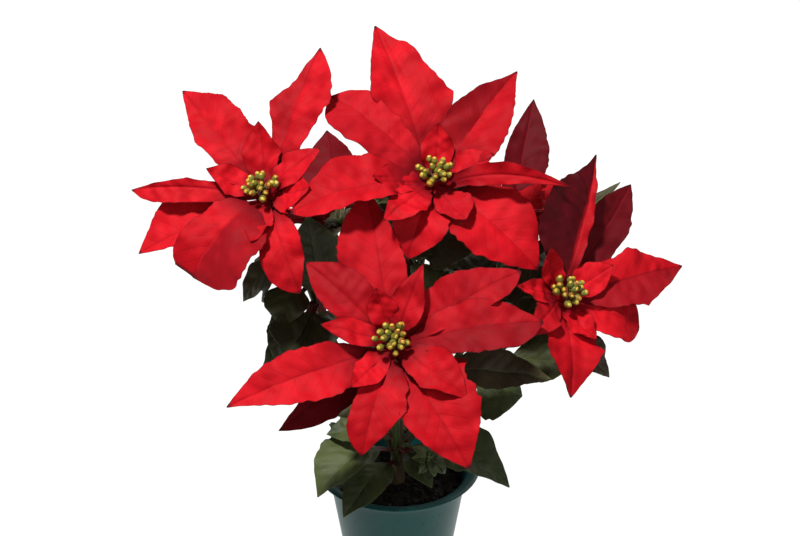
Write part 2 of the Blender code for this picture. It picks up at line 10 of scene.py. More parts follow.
import bpy
import numpy as np
from bpy.props import FloatProperty, FloatVectorProperty, IntProperty, PointerProperty
from bpy.types import Operator, Panel, PropertyGroup
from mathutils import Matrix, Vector


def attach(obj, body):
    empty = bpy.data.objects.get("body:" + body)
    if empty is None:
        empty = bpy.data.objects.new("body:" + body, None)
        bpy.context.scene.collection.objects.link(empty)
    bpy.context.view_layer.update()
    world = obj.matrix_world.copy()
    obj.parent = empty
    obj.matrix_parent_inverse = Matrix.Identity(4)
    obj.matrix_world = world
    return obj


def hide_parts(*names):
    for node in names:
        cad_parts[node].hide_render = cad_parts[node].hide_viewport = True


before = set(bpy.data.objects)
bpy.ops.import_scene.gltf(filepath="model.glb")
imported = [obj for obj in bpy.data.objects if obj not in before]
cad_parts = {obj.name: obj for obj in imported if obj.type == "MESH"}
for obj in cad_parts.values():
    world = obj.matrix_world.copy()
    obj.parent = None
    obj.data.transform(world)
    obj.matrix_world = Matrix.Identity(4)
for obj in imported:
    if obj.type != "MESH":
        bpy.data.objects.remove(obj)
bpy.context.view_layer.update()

bl_info = {
    "name": "Potted Poinsettia",
    "version": (1, 0, 0),
    "blender": (4, 5, 0),
    "location": "3D View > Sidebar > Poinsettia",
    "description": "Builds a potted poinsettia with its finishes, stage and camera",
    "category": "Object",
}

BODY = "root"
MM = 0.001
SEED = 2026

# the same sizes as the solids have
TOUCH_GAP = 0.3
SOIL_TOP = 123.0
TRUNK_FOOT = 96.0
TRUNK_TOP = 188.0
TRUNK_RADIUS = 7.0
TRUNK_TOP_RADIUS = 5.5
TRUNK_COLLAR = 4.0
STEM_RADIUS = 3.4
STEM_TOP_RADIUS = 3.0
STEM_RISE = 1.2
NECK = 28.0
HUB_RADII = (3.2, 3.6, 4.6)
HUB_TOP = 4.0
RIB_DEPTH = 1.6
STALK_HALF_WIDTH = 1.4
FOLD_AT_STALK = 0.2
FOLD_RAMP = 1.6
ROLL_RAMP = 0.3
EDGE_WAVES = 1.7
EDGE_WAVE_SHIFT = 2.1
WAVE_RAMP_UP = 5
WAVE_RAMP_DOWN = 4
BEND_STRETCH = 4 / 3
LEAF_STALK = 0.28
YOUNG_SEAT = 13
GOLDEN_ANGLE = radians(137.508)

SIGHT_TILT = radians(26)
SIGHT_RIGHT = np.array((1.0, 0.0, 0.0))
SIGHT_UP = np.array((0.0, sin(SIGHT_TILT), cos(SIGHT_TILT)))
SIGHT_TOWARD = np.array((0.0, -cos(SIGHT_TILT), sin(SIGHT_TILT)))

# share of the half width at each span of the blade, from where its stalk ends to its tip
SPANS = (0, .14, .30, .41, .52, .64, .78, .90, 1)
POINTED = (.16, .60, .96, 1.0, .92, .74, .46, .20, .02)
OVAL = (.14, .58, .87, .96, 1.0, .92, .66, .34, .02)
TOOTHED = (.14, .56, .80, .84, 1.0, .76, .50, .24, .02)
LOBED = (.14, .62, 1.0, .80, .84, .78, .54, .26, .02)
BLUNT = (.14, .56, .82, .89, .95, 1.0, .95, .66, .06)
SQUARE = (.14, .60, .84, .90, .95, 1.0, 1.0, 1.0, .70)
HIGH = (.14, .50, .62, .70, .92, 1.0, .80, .42, .02)
NOTCHED = (.14, .46, .54, .74, 1.0, .56, .34, .12, .02)
SHOULDER = (.14, .60, .86, 1.0, .80, .66, .48, .20, .02)
BROAD = (.16, .60, .93, 1.0, .97, .86, .62, .34, .02)
CUPPED = (.16, .60, .93, 1.0, .97, .80, .42, .16, .02)
SLENDER = (.14, .54, .86, .97, 1.0, .88, .60, .30, .02)
# the spans at which an outline has a corner, not a round bulge
CORNERS = {TOOTHED: (4,), LOBED: (2, 4), SQUARE: (7,), NOTCHED: (4,), SHOULDER: (3,)}


def bract(heading, reach, halves, lift, seat, arch, edges, **more):
    """A bract: heading in degrees anticlockwise from the right, reach and half widths (left, right of
    its rib) in the sight plane, lift of its tip above the head's plane, depth of its seat below the
    head, height of its arch, outline of its two edges."""
    sizes = dict(heading=heading, reach=reach, halves=halves, lift=lift, seat=seat, arch=arch)
    return {**sizes, "edges": edges, **more}


def leaf(place, tip, face, halves, arch, **more):
    """A leaf: place along its stem from 0 to 1, tip in world coordinates, the way its face looks,
    half widths, height of its arch."""
    return dict(place=place, tip=tip, face=face, halves=halves, arch=arch, **more)


def small(heading, reach, halves, lift, edges=(OVAL, TOOTHED), arch=-2):
    """One of the small young bracts close around the cyathia."""
    return bract(heading, reach, halves, lift, YOUNG_SEAT, arch, edges, fold=6, wave=0.6, young=True)


def unit(vector):
    """Vectors made one millimetre long."""
    vector = np.asarray(vector, float)
    return vector / np.linalg.norm(vector, axis=-1, keepdims=True)


def trunk_radius(height):
    """Radius of the trunk at a height; it is even under its collar."""
    heights = SOIL_TOP + TRUNK_COLLAR, TRUNK_TOP
    return np.interp(height, heights, (TRUNK_RADIUS, TRUNK_TOP_RADIUS))


class Head:
    """A flowering head and the leafy stem under it."""

    def __init__(self, centre, axis, out, start, pulls, bracts, leaves, faces_away=False):
        self.centre = np.array(centre, float)
        self.axis = unit(axis)
        self.bracts = bracts
        self.leaves = leaves
        if faces_away:
            up = unit(np.array((0, 1.0, 0)) - self.axis * self.axis[1])
            self.sight = np.cross(up, self.axis), up, self.axis
        else:
            self.sight = SIGHT_RIGHT, SIGHT_UP, SIGHT_TOWARD
        self.curve = self.stem_curve(out, start, pulls)

    def stem_curve(self, out, start, pulls):
        """The four points of the stem's curve, from the trunk to the neck under the head."""
        end = self.centre - self.axis * NECK
        if out is None:
            first = np.array((0, 0, TRUNK_TOP + TOUCH_GAP))
            rise = np.array((0, 0, 1.0))
        else:
            sideways = unit((*out, 0))
            rise = unit(sideways + np.array((0, 0, STEM_RISE)))
            clear = trunk_radius(start) + TOUCH_GAP + STEM_RADIUS * rise[2]
            first = sideways * clear + np.array((0, 0, start))
        return first, first + rise * pulls[0], end - self.axis * pulls[1], end


HEADS = {
    "left": Head(
        centre=(-115, 7, 411), axis=(-.22, -.58, .78), out=(-.97, .24), start=166, pulls=(60, 70),
        bracts=[
            bract(130, 115, (21, 34), 10, seat=20, arch=14, edges=(TOOTHED, LOBED)),
            bract(69, 133, (23, 32), 12, seat=24, arch=12, edges=(NOTCHED, HIGH)),
            bract(180, 114, (14, 8), 4, seat=18, arch=12, edges=(BLUNT, TOOTHED), roll=-28),
            bract(207, 121, (15, 33), -22, seat=25, arch=10, edges=(OVAL, OVAL)),
            bract(231, 95, (54, 26), -20, seat=17, arch=18, edges=(BLUNT, SQUARE)),
            bract(291, 95, (18, 21), -30, seat=20, arch=18, edges=(OVAL, BLUNT)),
            bract(34, 60, (15, 16), 4, seat=15, arch=8, edges=(TOOTHED, OVAL)),
            small(160, 50, (14, 14), 12, edges=(TOOTHED, OVAL)),
            small(0, 42, (15, 20), 8, edges=(OVAL, OVAL)),
            small(94, 58, (17, 17), 12),
            small(262, 46, (13, 14), 2),
        ],
        leaves=[
            leaf(.70, (-136, 14, 300), (-.2, -.3, .95), (24, 15), 16, stalk=.22),
            leaf(.62, (-107, -10, 252), (-.5, -.7, .5), (25, 15), 12, stalk=.22),
            leaf(.56, (-84, -30, 262), (-.1, -.8, .6), (32, 32), 10),
            leaf(.66, (-103, 2, 282), (-.2, -.5, .8), (24, 22), 8),
            leaf(.50, (-78, 24, 378), (.2, -.8, .5), (28, 27), 4),
            leaf(.78, (-119, 49, 282), (-.2, -.3, .9), (27, 27), 10),
            leaf(.46, (-120, 6, 241), (-.3, -.3, .9), (24, 12), 12),
        ],
    ),
    "top": Head(
        centre=(31.5, 7.5, 423), axis=(.04, -.55, .83), out=None, start=TRUNK_TOP, pulls=(80, 90),
        bracts=[
            bract(111, 144, (30, 42), 15, seat=24, arch=14, edges=(TOOTHED, SHOULDER)),
            bract(142, 113, (31, 21), 5, seat=19, arch=16, edges=(BLUNT, BLUNT)),
            bract(52, 117, (25, 36), 15, seat=20, arch=12, edges=(POINTED, POINTED), fold=26),
            bract(354, 113, (12, 9), 20, seat=22, arch=20, edges=(TOOTHED, POINTED), roll=40),
            bract(317, 117, (36, 37), -25, seat=25, arch=18, edges=(OVAL, OVAL)),
            bract(252, 75, (27, 22), -28, seat=18, arch=16, edges=(OVAL, OVAL)),
            bract(195, 125, (20, 29), -8, seat=23, arch=26, edges=(BLUNT, OVAL)),
            small(222, 58, (18, 16), 4, arch=4),
            small(182, 52, (16, 16), 10, edges=(TOOTHED, OVAL)),
            small(20, 52, (17, 18), 10),
            small(86, 44, (14, 15), 13, edges=(OVAL, OVAL)),
            small(303, 46, (18, 14), 3, edges=(OVAL, OVAL)),
        ],
        leaves=[
            leaf(.66, (64, 16, 346), (.2, -.5, .8), (27, 27), 10),
            leaf(.62, (-52, 62, 330), (-.2, -.3, .9), (24, 24), 8),
            leaf(.50, (-14, 84, 374), (0, -.5, .8), (24, 38), 6),
            leaf(.42, (45, 21, 328), (0, -.5, .8), (24, 24), 8),
        ],
    ),
    "front": Head(
        centre=(-4, -93, 320), axis=(-.05, -.68, .73), out=(-.10, -.99), start=148, pulls=(42, 70),
        bracts=[
            bract(202, 145, (28, 22), -5, seat=22, arch=14, edges=(POINTED, OVAL)),
            bract(219, 122, (23, 9), -46, seat=25, arch=10, edges=(OVAL, OVAL)),
            bract(255, 96, (29, 18), -15, seat=19, arch=14, edges=(TOOTHED, BLUNT)),
            bract(301, 119, (45, 28), -15, seat=25, arch=16, edges=(LOBED, OVAL)),
            bract(322, 76, (20, 18), 0, seat=16, arch=10, edges=(OVAL, TOOTHED)),
            bract(7, 123, (24, 23), 8, seat=20, arch=14, edges=(OVAL, BLUNT)),
            bract(28, 119, (25, 17), 10, seat=24, arch=14, edges=(BROAD, BLUNT)),
            bract(68, 67, (15, 15), 20, seat=15, arch=4, edges=(POINTED, POINTED)),
            bract(100, 129, (34, 22), 0, seat=25, arch=12, edges=(OVAL, POINTED)),
            bract(139, 96, (20, 22), 0, seat=18, arch=14, edges=(OVAL, OVAL)),
            small(168, 60, (12, 12), 6, edges=(TOOTHED, OVAL), arch=4),
            small(228, 50, (14, 14), 4),
            small(108, 44, (13, 13), 13, edges=(OVAL, OVAL)),
        ],
        leaves=[
            leaf(.16, (-70, -70, 151), (-.3, -.3, .9), (23, 32), 22, stalk=.2),
            leaf(.03, (-47, -86, 141), (-.1, -.4, .9), (20, 20), 12, stalk=.15),
            leaf(.14, (98, -62, 156), (.3, -.3, .9), (33, 24), 24, stalk=.2),
            leaf(.22, (30, -66, 158), (.1, -.5, .8), (12, 12), 8),
            leaf(.80, (129, -64, 267), (.1, -.5, .8), (20, 20), 10),
            leaf(.30, (-63, -29, 190), (-.2, -.2, .9), (18, 18), 5),
            leaf(.70, (-58, -68, 234), (-.2, -.5, .8), (22, 22), 8),
        ],
    ),
    "right": Head(
        centre=(141, -54, 343), axis=(.40, -.58, .71), out=(.93, -.36), start=170, pulls=(60, 70),
        bracts=[
            bract(12, 107, (25, 29), 5, seat=20, arch=12, edges=(TOOTHED, TOOTHED)),
            bract(334, 71, (23, 24), -10, seat=24, arch=12, edges=(BLUNT, BLUNT)),
            bract(270, 85, (29, 27), -10, seat=19, arch=12, edges=(TOOTHED, TOOTHED)),
            bract(56, 113, (21, 19), 0, seat=25, arch=12, edges=(OVAL, OVAL)),
            bract(76, 121, (47, 8), 22, seat=18, arch=12, edges=(CUPPED, POINTED), fold=22, skew=-.2),
            bract(224, 50, (14, 14), -2, seat=15, arch=8, edges=(OVAL, TOOTHED)),
            small(172, 45, (11, 11), 5, edges=(POINTED, POINTED), arch=2),
            small(112, 40, (13, 13), 12, edges=(OVAL, OVAL)),
            small(30, 46, (15, 14), 10, edges=(OVAL, OVAL)),
            small(300, 44, (13, 13), 3, edges=(OVAL, OVAL)),
        ],
        leaves=[
            leaf(.88, (182, -43, 256), (.7, -.6, .3), (17, 17), 10),
            leaf(.40, (109, -29, 229), (.1, -.6, .8), (30, 37), 10, edges=(LOBED, SLENDER)),
            leaf(.70, (131, 26, 329), (0, -.7, .7), (25, 25), 5),
            leaf(.56, (154, -28, 260), (0, -.6, .8), (24, 24), 8),
        ],
    ),
    "back_right": Head(
        centre=(105, 76, 358), axis=(.22, .12, .97), out=(.75, .66), start=156, pulls=(55, 80),
        faces_away=True,
        bracts=[
            bract(86, 98, (17, 25), 84, seat=22, arch=-8, edges=(OVAL, OVAL)),
            bract(42, 104, (24, 26), 24, seat=19, arch=8, edges=(TOOTHED, OVAL)),
            bract(338, 80, (23, 22), 12, seat=24, arch=10, edges=(OVAL, TOOTHED)),
            bract(296, 46, (18, 20), 20, seat=18, arch=4, edges=(OVAL, TOOTHED)),
            bract(245, 54, (20, 18), 20, seat=22, arch=4, edges=(TOOTHED, OVAL)),
            bract(190, 78, (20, 22), 18, seat=20, arch=6, edges=(OVAL, TOOTHED)),
            bract(128, 108, (26, 24), 28, seat=24, arch=8, edges=(TOOTHED, OVAL)),
            small(60, 46, (14, 14), 18),
            small(200, 42, (14, 14), 14),
            small(320, 40, (13, 13), 14, edges=(OVAL, OVAL)),
        ],
        leaves=[
            leaf(.80, (199, 82, 385), (0, -.4, .9), (12, 12), 0),
            leaf(.74, (160, 122, 296), (.4, .3, .8), (27, 27), 12),
            leaf(.60, (82, 150, 300), (.1, .5, .8), (27, 27), 12),
            leaf(.44, (128, 66, 232), (.4, .2, .9), (27, 27), 12),
        ],
    ),
    "back_left": Head(
        centre=(-66, 95, 356), axis=(-.30, .30, .90), out=(-.55, .84), start=150, pulls=(50, 80),
        faces_away=True,
        bracts=[
            bract(84, 86, (32, 26), 62, seat=22, arch=-6, edges=(OVAL, OVAL)),
            bract(112, 112, (26, 28), 10, seat=19, arch=10, edges=(TOOTHED, OVAL)),
            bract(158, 108, (25, 26), 8, seat=24, arch=10, edges=(OVAL, TOOTHED)),
            bract(205, 74, (20, 22), 4, seat=18, arch=8, edges=(OVAL, TOOTHED)),
            bract(262, 38, (15, 15), 8, seat=22, arch=4, edges=(TOOTHED, OVAL)),
            bract(318, 44, (16, 16), 8, seat=19, arch=5, edges=(OVAL, TOOTHED)),
            bract(15, 84, (22, 24), 10, seat=25, arch=8, edges=(TOOTHED, OVAL)),
            small(90, 46, (14, 14), 13),
            small(10, 42, (14, 14), 11),
            small(190, 42, (13, 14), 10),
        ],
        leaves=[
            leaf(.84, (-130, 128, 300), (-.4, .3, .8), (26, 26), 12),
            leaf(.70, (-34, 156, 296), (.1, .5, .8), (27, 27), 12),
            leaf(.52, (-104, 76, 240), (-.4, .2, .9), (27, 27), 12),
            leaf(.34, (-6, 92, 222), (0, .4, .9), (25, 25), 12),
        ],
    ),
}


# painted shade: how far a bract is darkened to maroon to stand for the shade it lies in, by its place in
# its head's list, whole or as (left half, right half): the ones that stand up and are seen from their
# shaded side, and the ones in the shadow of the bracts above them
PAINTED_SHADE = {
    "left": {1: (0.3, 0.1), 4: (0.5, 0.0), 6: 0.15, 10: 0.3},
    "top": {1: (0.35, 0.2), 2: (0.55, 0.1), 9: 0.1, 11: 0.3},
    "front": {1: 0.85, 5: (0.3, 0.6), 6: 0.3, 7: 0.2, 8: 0.2, 9: 0.35},
    "right": {0: (0.0, 0.55), 3: 0.95, 4: (1.0, 0.15), 5: 0.3},
    "back_right": {0: 0.95, 6: 0.6},
    "back_left": {0: 0.85, 6: 0.5},
}


# small side shoots, at the foot of the plant and in the dark places behind the heads: place along
# the stem, end in world coordinates, number of leaves
SHOOTS = {
    "front": ((.24, (27, -57, 184), 9),),
    "left": ((.10, (-50, 8, 172), 7), (.03, (-38, 20, 160), 6)),
    "right": ((.04, (44, -4, 166), 6), (.55, (92, 0, 308), 8)),
    "top": (
        (.42, (20, 30, 336), 8),
        (.36, (46, 28, 322), 8),
        (.62, (-19, 38, 384), 6),
        (.80, (50, 36, 396), 6),
    ),
    "back_left": ((.04, (-12, 30, 153), 8), (.82, (-51, 48, 360), 8)),
    "back_right": ((.04, (14, 32, 153), 8),),
}
SHOOT_RISE = 5.0
SHOOT_RINGS = 14
SHOOT_SIDES = 10
SHOOT_RADII = (1.7, 1.1)
SHOOT_LEAF = (13.0, 24.0)
SHOOT_LEAF_HALF = 0.27
BUDS = 5
BUD_RADIUS = 1.9
BUD_RINGS = 8
# the small bracts round the cyathia stand this much higher than in the solids
YOUNG_LIFT = 4.0


def linear(code):
    """An sRGB hex colour as linear red, green and blue."""
    parts = [int(code[at:at + 2], 16) / 255 for at in (1, 3, 5)]
    return tuple(part / 12.92 if part <= .04045 else ((part + .055) / 1.055) ** 2.4 for part in parts)


def colour(name, code, description):
    """A colour property with an sRGB hex default."""
    return FloatVectorProperty(
        name=name, description=description, subtype="COLOR", size=3, min=0, max=1, default=linear(code),
    )


def amount(name, value, description):
    """A property that is a plain number."""
    return FloatProperty(name=name, description=description, default=value)


def length(name, millimetres, description):
    """A length property with a default in millimetres."""
    return FloatProperty(name=name, description=description, unit="LENGTH", default=millimetres * MM)


class BractSettings(PropertyGroup):
    bright: colour("Bright", "#DC1422", "Upper side of a bract where it is fully coloured")
    deep: colour("Deep", "#BE0A18", "Patches of deeper red in the upper side")
    under: colour("Under", "#B01622", "Duller under side")
    # painted shade: the maroon that shaded bracts, and the feet of all bracts, are darkened to
    blush_and_painted_shade: colour("Dusk", "#5A0A14", "Maroon of the bracts in PAINTED_SHADE")
    vein: colour("Vein", "#8A0814", "Sunk veins and margin")
    tip: colour("Tip", "#3A0C12", "Point of a bract")
    thickness: length("Thickness", .6, "Thickness of the lamina")
    vein_spacing: length("Vein spacing", 12, "Distance between side veins along the rib")
    pucker: length("Pucker", .14, "Rise of the lamina between two side veins")
    crumple: length("Crumple", 1.1, "Height of the loose folds")
    ripple: length("Ripple", 1.5, "Height of the small waves of the margin")


class LeafSettings(PropertyGroup):
    bright: colour("Bright", "#525C32", "Upper side of a leaf in its lighter patches")
    deep: colour("Deep", "#3D462C", "Upper side of a leaf in its darker patches")
    under: colour("Under", "#5E6A47", "Paler under side")
    vein: colour("Vein", "#5F6A3C", "Pale veins")
    blush: colour("Blush", "#48282A", "Purple-brown of the leaves next to the bracts")
    stalk: colour("Stalk", "#6B2A22", "Reddish leaf stalk")
    thickness: length("Thickness", .6, "Thickness of the lamina")
    vein_spacing: length("Vein spacing", 11, "Distance between side veins along the rib")
    pucker: length("Pucker", .9, "Rise of the lamina between two side veins")
    crumple: length("Crumple", .8, "Height of the loose folds")
    ripple: length("Ripple", 1.0, "Height of the small waves of the margin")


class StemSettings(PropertyGroup):
    young: colour("Young stem", "#4A5A2A", "Green upper stem")
    old: colour("Old stem", "#5A4A33", "Brown foot of the stem")
    bark: colour("Bark", "#6A5A44", "Woody trunk")


class CyathiumSettings(PropertyGroup):
    count: IntProperty(name="Count", description="Cyathia in one cluster", default=18, min=5, max=30)
    cup: colour("Cup", "#8E8834", "Yellow-green cup of an old cyathium")
    green: colour("Green", "#77772C", "Greener cup of a young cyathium")
    gland: colour("Gland", "#DCC850", "Yellow nectar gland")
    ripe: colour("Ripe gland", "#CBA030", "Darker patches of a gland")
    tuft: colour("Tuft", "#A8281A", "Red lobes and stamens")
    pollen: colour("Pollen", "#D9A21C", "Pollen on the stamens")
    receptacle: colour("Receptacle", "#4A0C0E", "Floor between the cyathia")
    radius: length("Radius", 3.1, "Radius of one cup")
    spread: length("Spread", 17.5, "Radius of the cluster")


class PotSettings(PropertyGroup):
    plastic: colour("Plastic", "#1F6764", "Teal moulded plastic")
    height: length("Height", 140, "Height of the pot")
    rim_radius: length("Rim radius", 75, "Radius of the flared lip")
    base_radius: length("Base radius", 42, "Radius of the foot")
    throat_radius: length("Throat radius", 62, "Outer radius under the lip")
    wall: length("Wall", 1.7, "Wall thickness")
    dirt: colour("Dirt", "#2A2420", "Dust of peat on the plastic")


class SoilSettings(PropertyGroup):
    peat: colour("Peat", "#1B1512", "Dark peat")
    fibre: colour("Fibre", "#3A2C20", "Brown fibres and crumbs")
    perlite: colour("Perlite", "#6E695E", "Pale perlite grains")
    crumbs: IntProperty(name="Crumbs", description="Loose crumbs on the soil", default=420, min=0)


class StageSettings(PropertyGroup):
    floor: colour("Floor", "#F4F4F2", "Plain pale floor")
    key_power: amount("Key power", 49, "Main lamp, in watts")
    fill_power: amount("Fill power", 6, "Broad soft lamp, in watts")
    back_power: amount("Back power", 6, "Soft lamp behind the plant, in watts")
    floor_light: amount("Floor light", 3.4, "Strength of the floor's own lamp")
    sky: amount("Sky", .15, "Strength of the even light all round")
    distance: length("Camera distance", 1400, "Camera to the middle of the plant")
    across: length("Picture width", 688.8, "Width that the picture shows at the plant")


class PoinsettiaSettings(PropertyGroup):
    bract: PointerProperty(type=BractSettings)
    leaf: PointerProperty(type=LeafSettings)
    stem: PointerProperty(type=StemSettings)
    cyathium: PointerProperty(type=CyathiumSettings)
    pot: PointerProperty(type=PotSettings)
    soil: PointerProperty(type=SoilSettings)
    stage: PointerProperty(type=StageSettings)


class Shape:
    """Collects grids of points into one mesh, with what each point knows about its place on a blade."""

    def __init__(self):
        self.points, self.faces, self.slots = [], [], []
        self.notes = {"blade_mm": [], "blade_share": [], "blade_look": []}
        self.count = 0

    def add(self, points, faces, slot=0, **notes):
        """Points and faces of one material slot, and the notes that are known of the points."""
        points = np.asarray(points, float).reshape(-1, 3)
        self.points.append(points)
        self.faces += [np.asarray(face) + self.count for face in faces]
        self.slots += [slot] * len(faces)
        for name, column in self.notes.items():
            column.append(np.broadcast_to(np.asarray(notes.get(name, (0, 0, 0)), float), points.shape))
        self.count += len(points)

    def tube(self, points, slot=0, **notes):
        """A closed tube through rings of points, with a face at each end."""
        index = np.arange(points[..., 0].size).reshape(points.shape[:2])
        walls = quads(np.concatenate([index, index[:, :1]], axis=1))
        self.add(points, [*walls, index[0, ::-1], index[-1]], slot, **notes)

    def object(self, name, materials, smooth=radians(50)):
        """The mesh as an object of the scene, smooth where its faces meet at less than an angle."""
        mesh = bpy.data.meshes.new(name)
        mesh.from_pydata(np.concatenate(self.points) * MM, [], [list(map(int, face)) for face in self.faces])
        for material in materials:
            mesh.materials.append(material)
        mesh.polygons.foreach_set("material_index", self.slots)
        for note, column in self.notes.items():
            values = np.concatenate(column).astype(np.float32)
            mesh.attributes.new(note, "FLOAT_VECTOR", "POINT").data.foreach_set("vector", values.ravel())
        mesh.shade_smooth()
        mesh.set_sharp_from_angle(angle=smooth)
        mesh.update()
        piece = bpy.data.objects.new(name, mesh)
        bpy.context.scene.collection.objects.link(piece)
        return piece


def quads(index):
    """Faces between the neighbouring rows and columns of an index grid."""
    corners = index[:-1, :-1], index[:-1, 1:], index[1:, 1:], index[1:, :-1]
    return np.stack(corners, axis=-1).reshape(-1, 4)


def settle(piece, slot, *nodes):
    """Gives a piece its body and hides the solids that it stands for; its slot is not used."""
    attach(piece, BODY)
    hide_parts(*nodes)


def along_curve(curve, places):
    """Points and unit directions of a cubic curve at places from 0 to 1."""
    a, b, c, d = curve
    t = np.asarray(places, float)[:, None]
    s = 1 - t
    points = s**3 * a + 3 * s**2 * t * b + 3 * s * t**2 * c + t**3 * d
    return points, unit(s**2 * (b - a) + 2 * s * t * (c - b) + t**2 * (d - c))


def rings(points, directions, radii, sides):
    """Rings of points about a line, square to its directions or to one direction; a radius may be one
    for all, one for each ring or one for each point."""
    directions = np.broadcast_to(directions, points.shape)
    across = unit(SIGHT_RIGHT - directions * directions[:, :1])
    beside = np.cross(directions, across)
    angles = np.arange(sides) * 2 * pi / sides
    spokes = across[:, None] * np.cos(angles)[:, None] + beside[:, None] * np.sin(angles)[:, None]
    radii = np.asarray(radii, float)
    radii = radii[..., None] if radii.ndim == 2 else radii.reshape(-1, 1, 1)
    return points[:, None] + spokes * radii


def upright(heights, radii, sides):
    """Rings of points about the world Z axis."""
    line = np.zeros((len(heights), 3))
    line[:, 2] = heights
    return rings(line, (0, 0, 1.0), radii, sides)


def outline(edge, spans):
    """A smooth outline through the shares of the half width, with corners where the edge has teeth."""
    knots, values = np.array(SPANS, float), np.array(edge)
    steps = np.diff(values) / np.diff(knots)
    before = np.concatenate([steps[:1], steps])
    after = np.concatenate([steps, steps[-1:]])
    smooth = np.where(before * after > 0, 2 * before * after / (before + after + 1e-9), 0)
    leave, arrive = smooth.copy(), smooth.copy()
    leave[0], arrive[-1] = steps[0], steps[-1]
    for corner in CORNERS.get(edge, ()):
        leave[corner], arrive[corner] = after[corner] * 1.5, before[corner] * 0.6
    at = np.clip(np.searchsorted(knots, spans, side="right") - 1, 0, len(knots) - 2)
    gap = knots[at + 1] - knots[at]
    t = (spans - knots[at]) / gap
    return (
        values[at] * (1 + 2 * t) * (1 - t) ** 2 + leave[at] * gap * t * (1 - t) ** 2
        + values[at + 1] * t**2 * (3 - 2 * t) + arrive[at + 1] * gap * t**2 * (t - 1)
    )


def waves(draw, count, shortest, longest):
    """A sum of random plane waves, as a function of two coordinates in millimetres, about -1 to 1."""
    terms = []
    for _ in range(count):
        angle = draw.uniform(0, 2 * pi)
        turns = 2 * pi / draw.uniform(shortest, longest)
        terms.append((cos(angle) * turns, sin(angle) * turns, draw.uniform(0, 2 * pi)))
    return lambda x, y: sum(np.sin(x * a + y * b + c) for a, b, c in terms) / sqrt(count)


VEIN_SLANT = tan(radians(38))
VEIN_CURVE = 0.006
VEIN_WOBBLE = 0.22
# spacing of the veins of a young blade, as a share of a grown one's
YOUNG_SPACING = 0.7
# waves of the margin and of the lamina: how many, the shortest and the longest in millimetres
NICKS = 5, 4, 13
FOLDS = (6, 20, 60), (6, 8, 16)
YOUNG_FOLDS = (6, 14, 30), (6, 6, 12)
NICK_DEPTH = 0.022
RIPPLES = 34, 19
# pleats near the base: where along the span, how far they reach, their width as a share of the half width
PLEAT_PLACE = 0.12
PLEAT_REACH = 0.16
PLEAT_WIDTH = 0.35
GROOVE_DEPTH = 0.6
GROOVE_WIDTH = 1.3
RIB_WIDTH = 1.15


def vein_phase(across, along, spacing):
    """Counts side veins: a whole number and a half lies on a vein. Veins leave the rib in turn on its
    two sides and bend towards the tip."""
    away = np.abs(across)
    return (along - away * VEIN_SLANT - away**2 * VEIN_CURVE) / spacing + 0.5 * (across < 0)


def blade_rib(root, tip, face, arch, skew, roll, place):
    """Points of the rib, and the directions out of the blade and across it at each of them."""
    chord = tip - root
    normal = unit(face - chord * (face @ chord) / (chord @ chord))
    bend = normal * arch * BEND_STRETCH
    curve = root, root + chord / 3 + bend * (1 - skew), root + chord * 2 / 3 + bend * (1 + skew), tip
    line, direction = along_curve(curve, place)
    out = unit(normal - direction * (direction @ normal)[:, None])
    side = np.cross(direction, out)
    turn = (radians(roll) * np.minimum(1, place / ROLL_RAMP))[:, None]
    return line, out * np.cos(turn) + side * np.sin(turn), side * np.cos(turn) - out * np.sin(turn)


def blade_edge(edge, half, shift, least, reach, span, swing, draw):
    """Half width of one side of a blade, the slow wave of its edge and the small waves on it."""
    nicks = waves(draw, *NICKS)(span * reach, 0 * span) * np.clip(span * 6, 0, 1)
    width = np.maximum(least, half * outline(edge, span) * (1 + NICK_DEPTH * nicks))
    start = draw.uniform(0, 2 * pi)
    slow, quick = (2 * pi * reach / wavelength * span for wavelength in RIPPLES)
    fine = np.sin(slow + start) + 0.6 * np.sin(quick + 3 * start)
    fine *= np.clip(4 * span, 0, 1) * np.clip(3 * (1 - span), 0, 1)
    return width, swing * np.sin(2 * pi * EDGE_WAVES * span + shift), fine


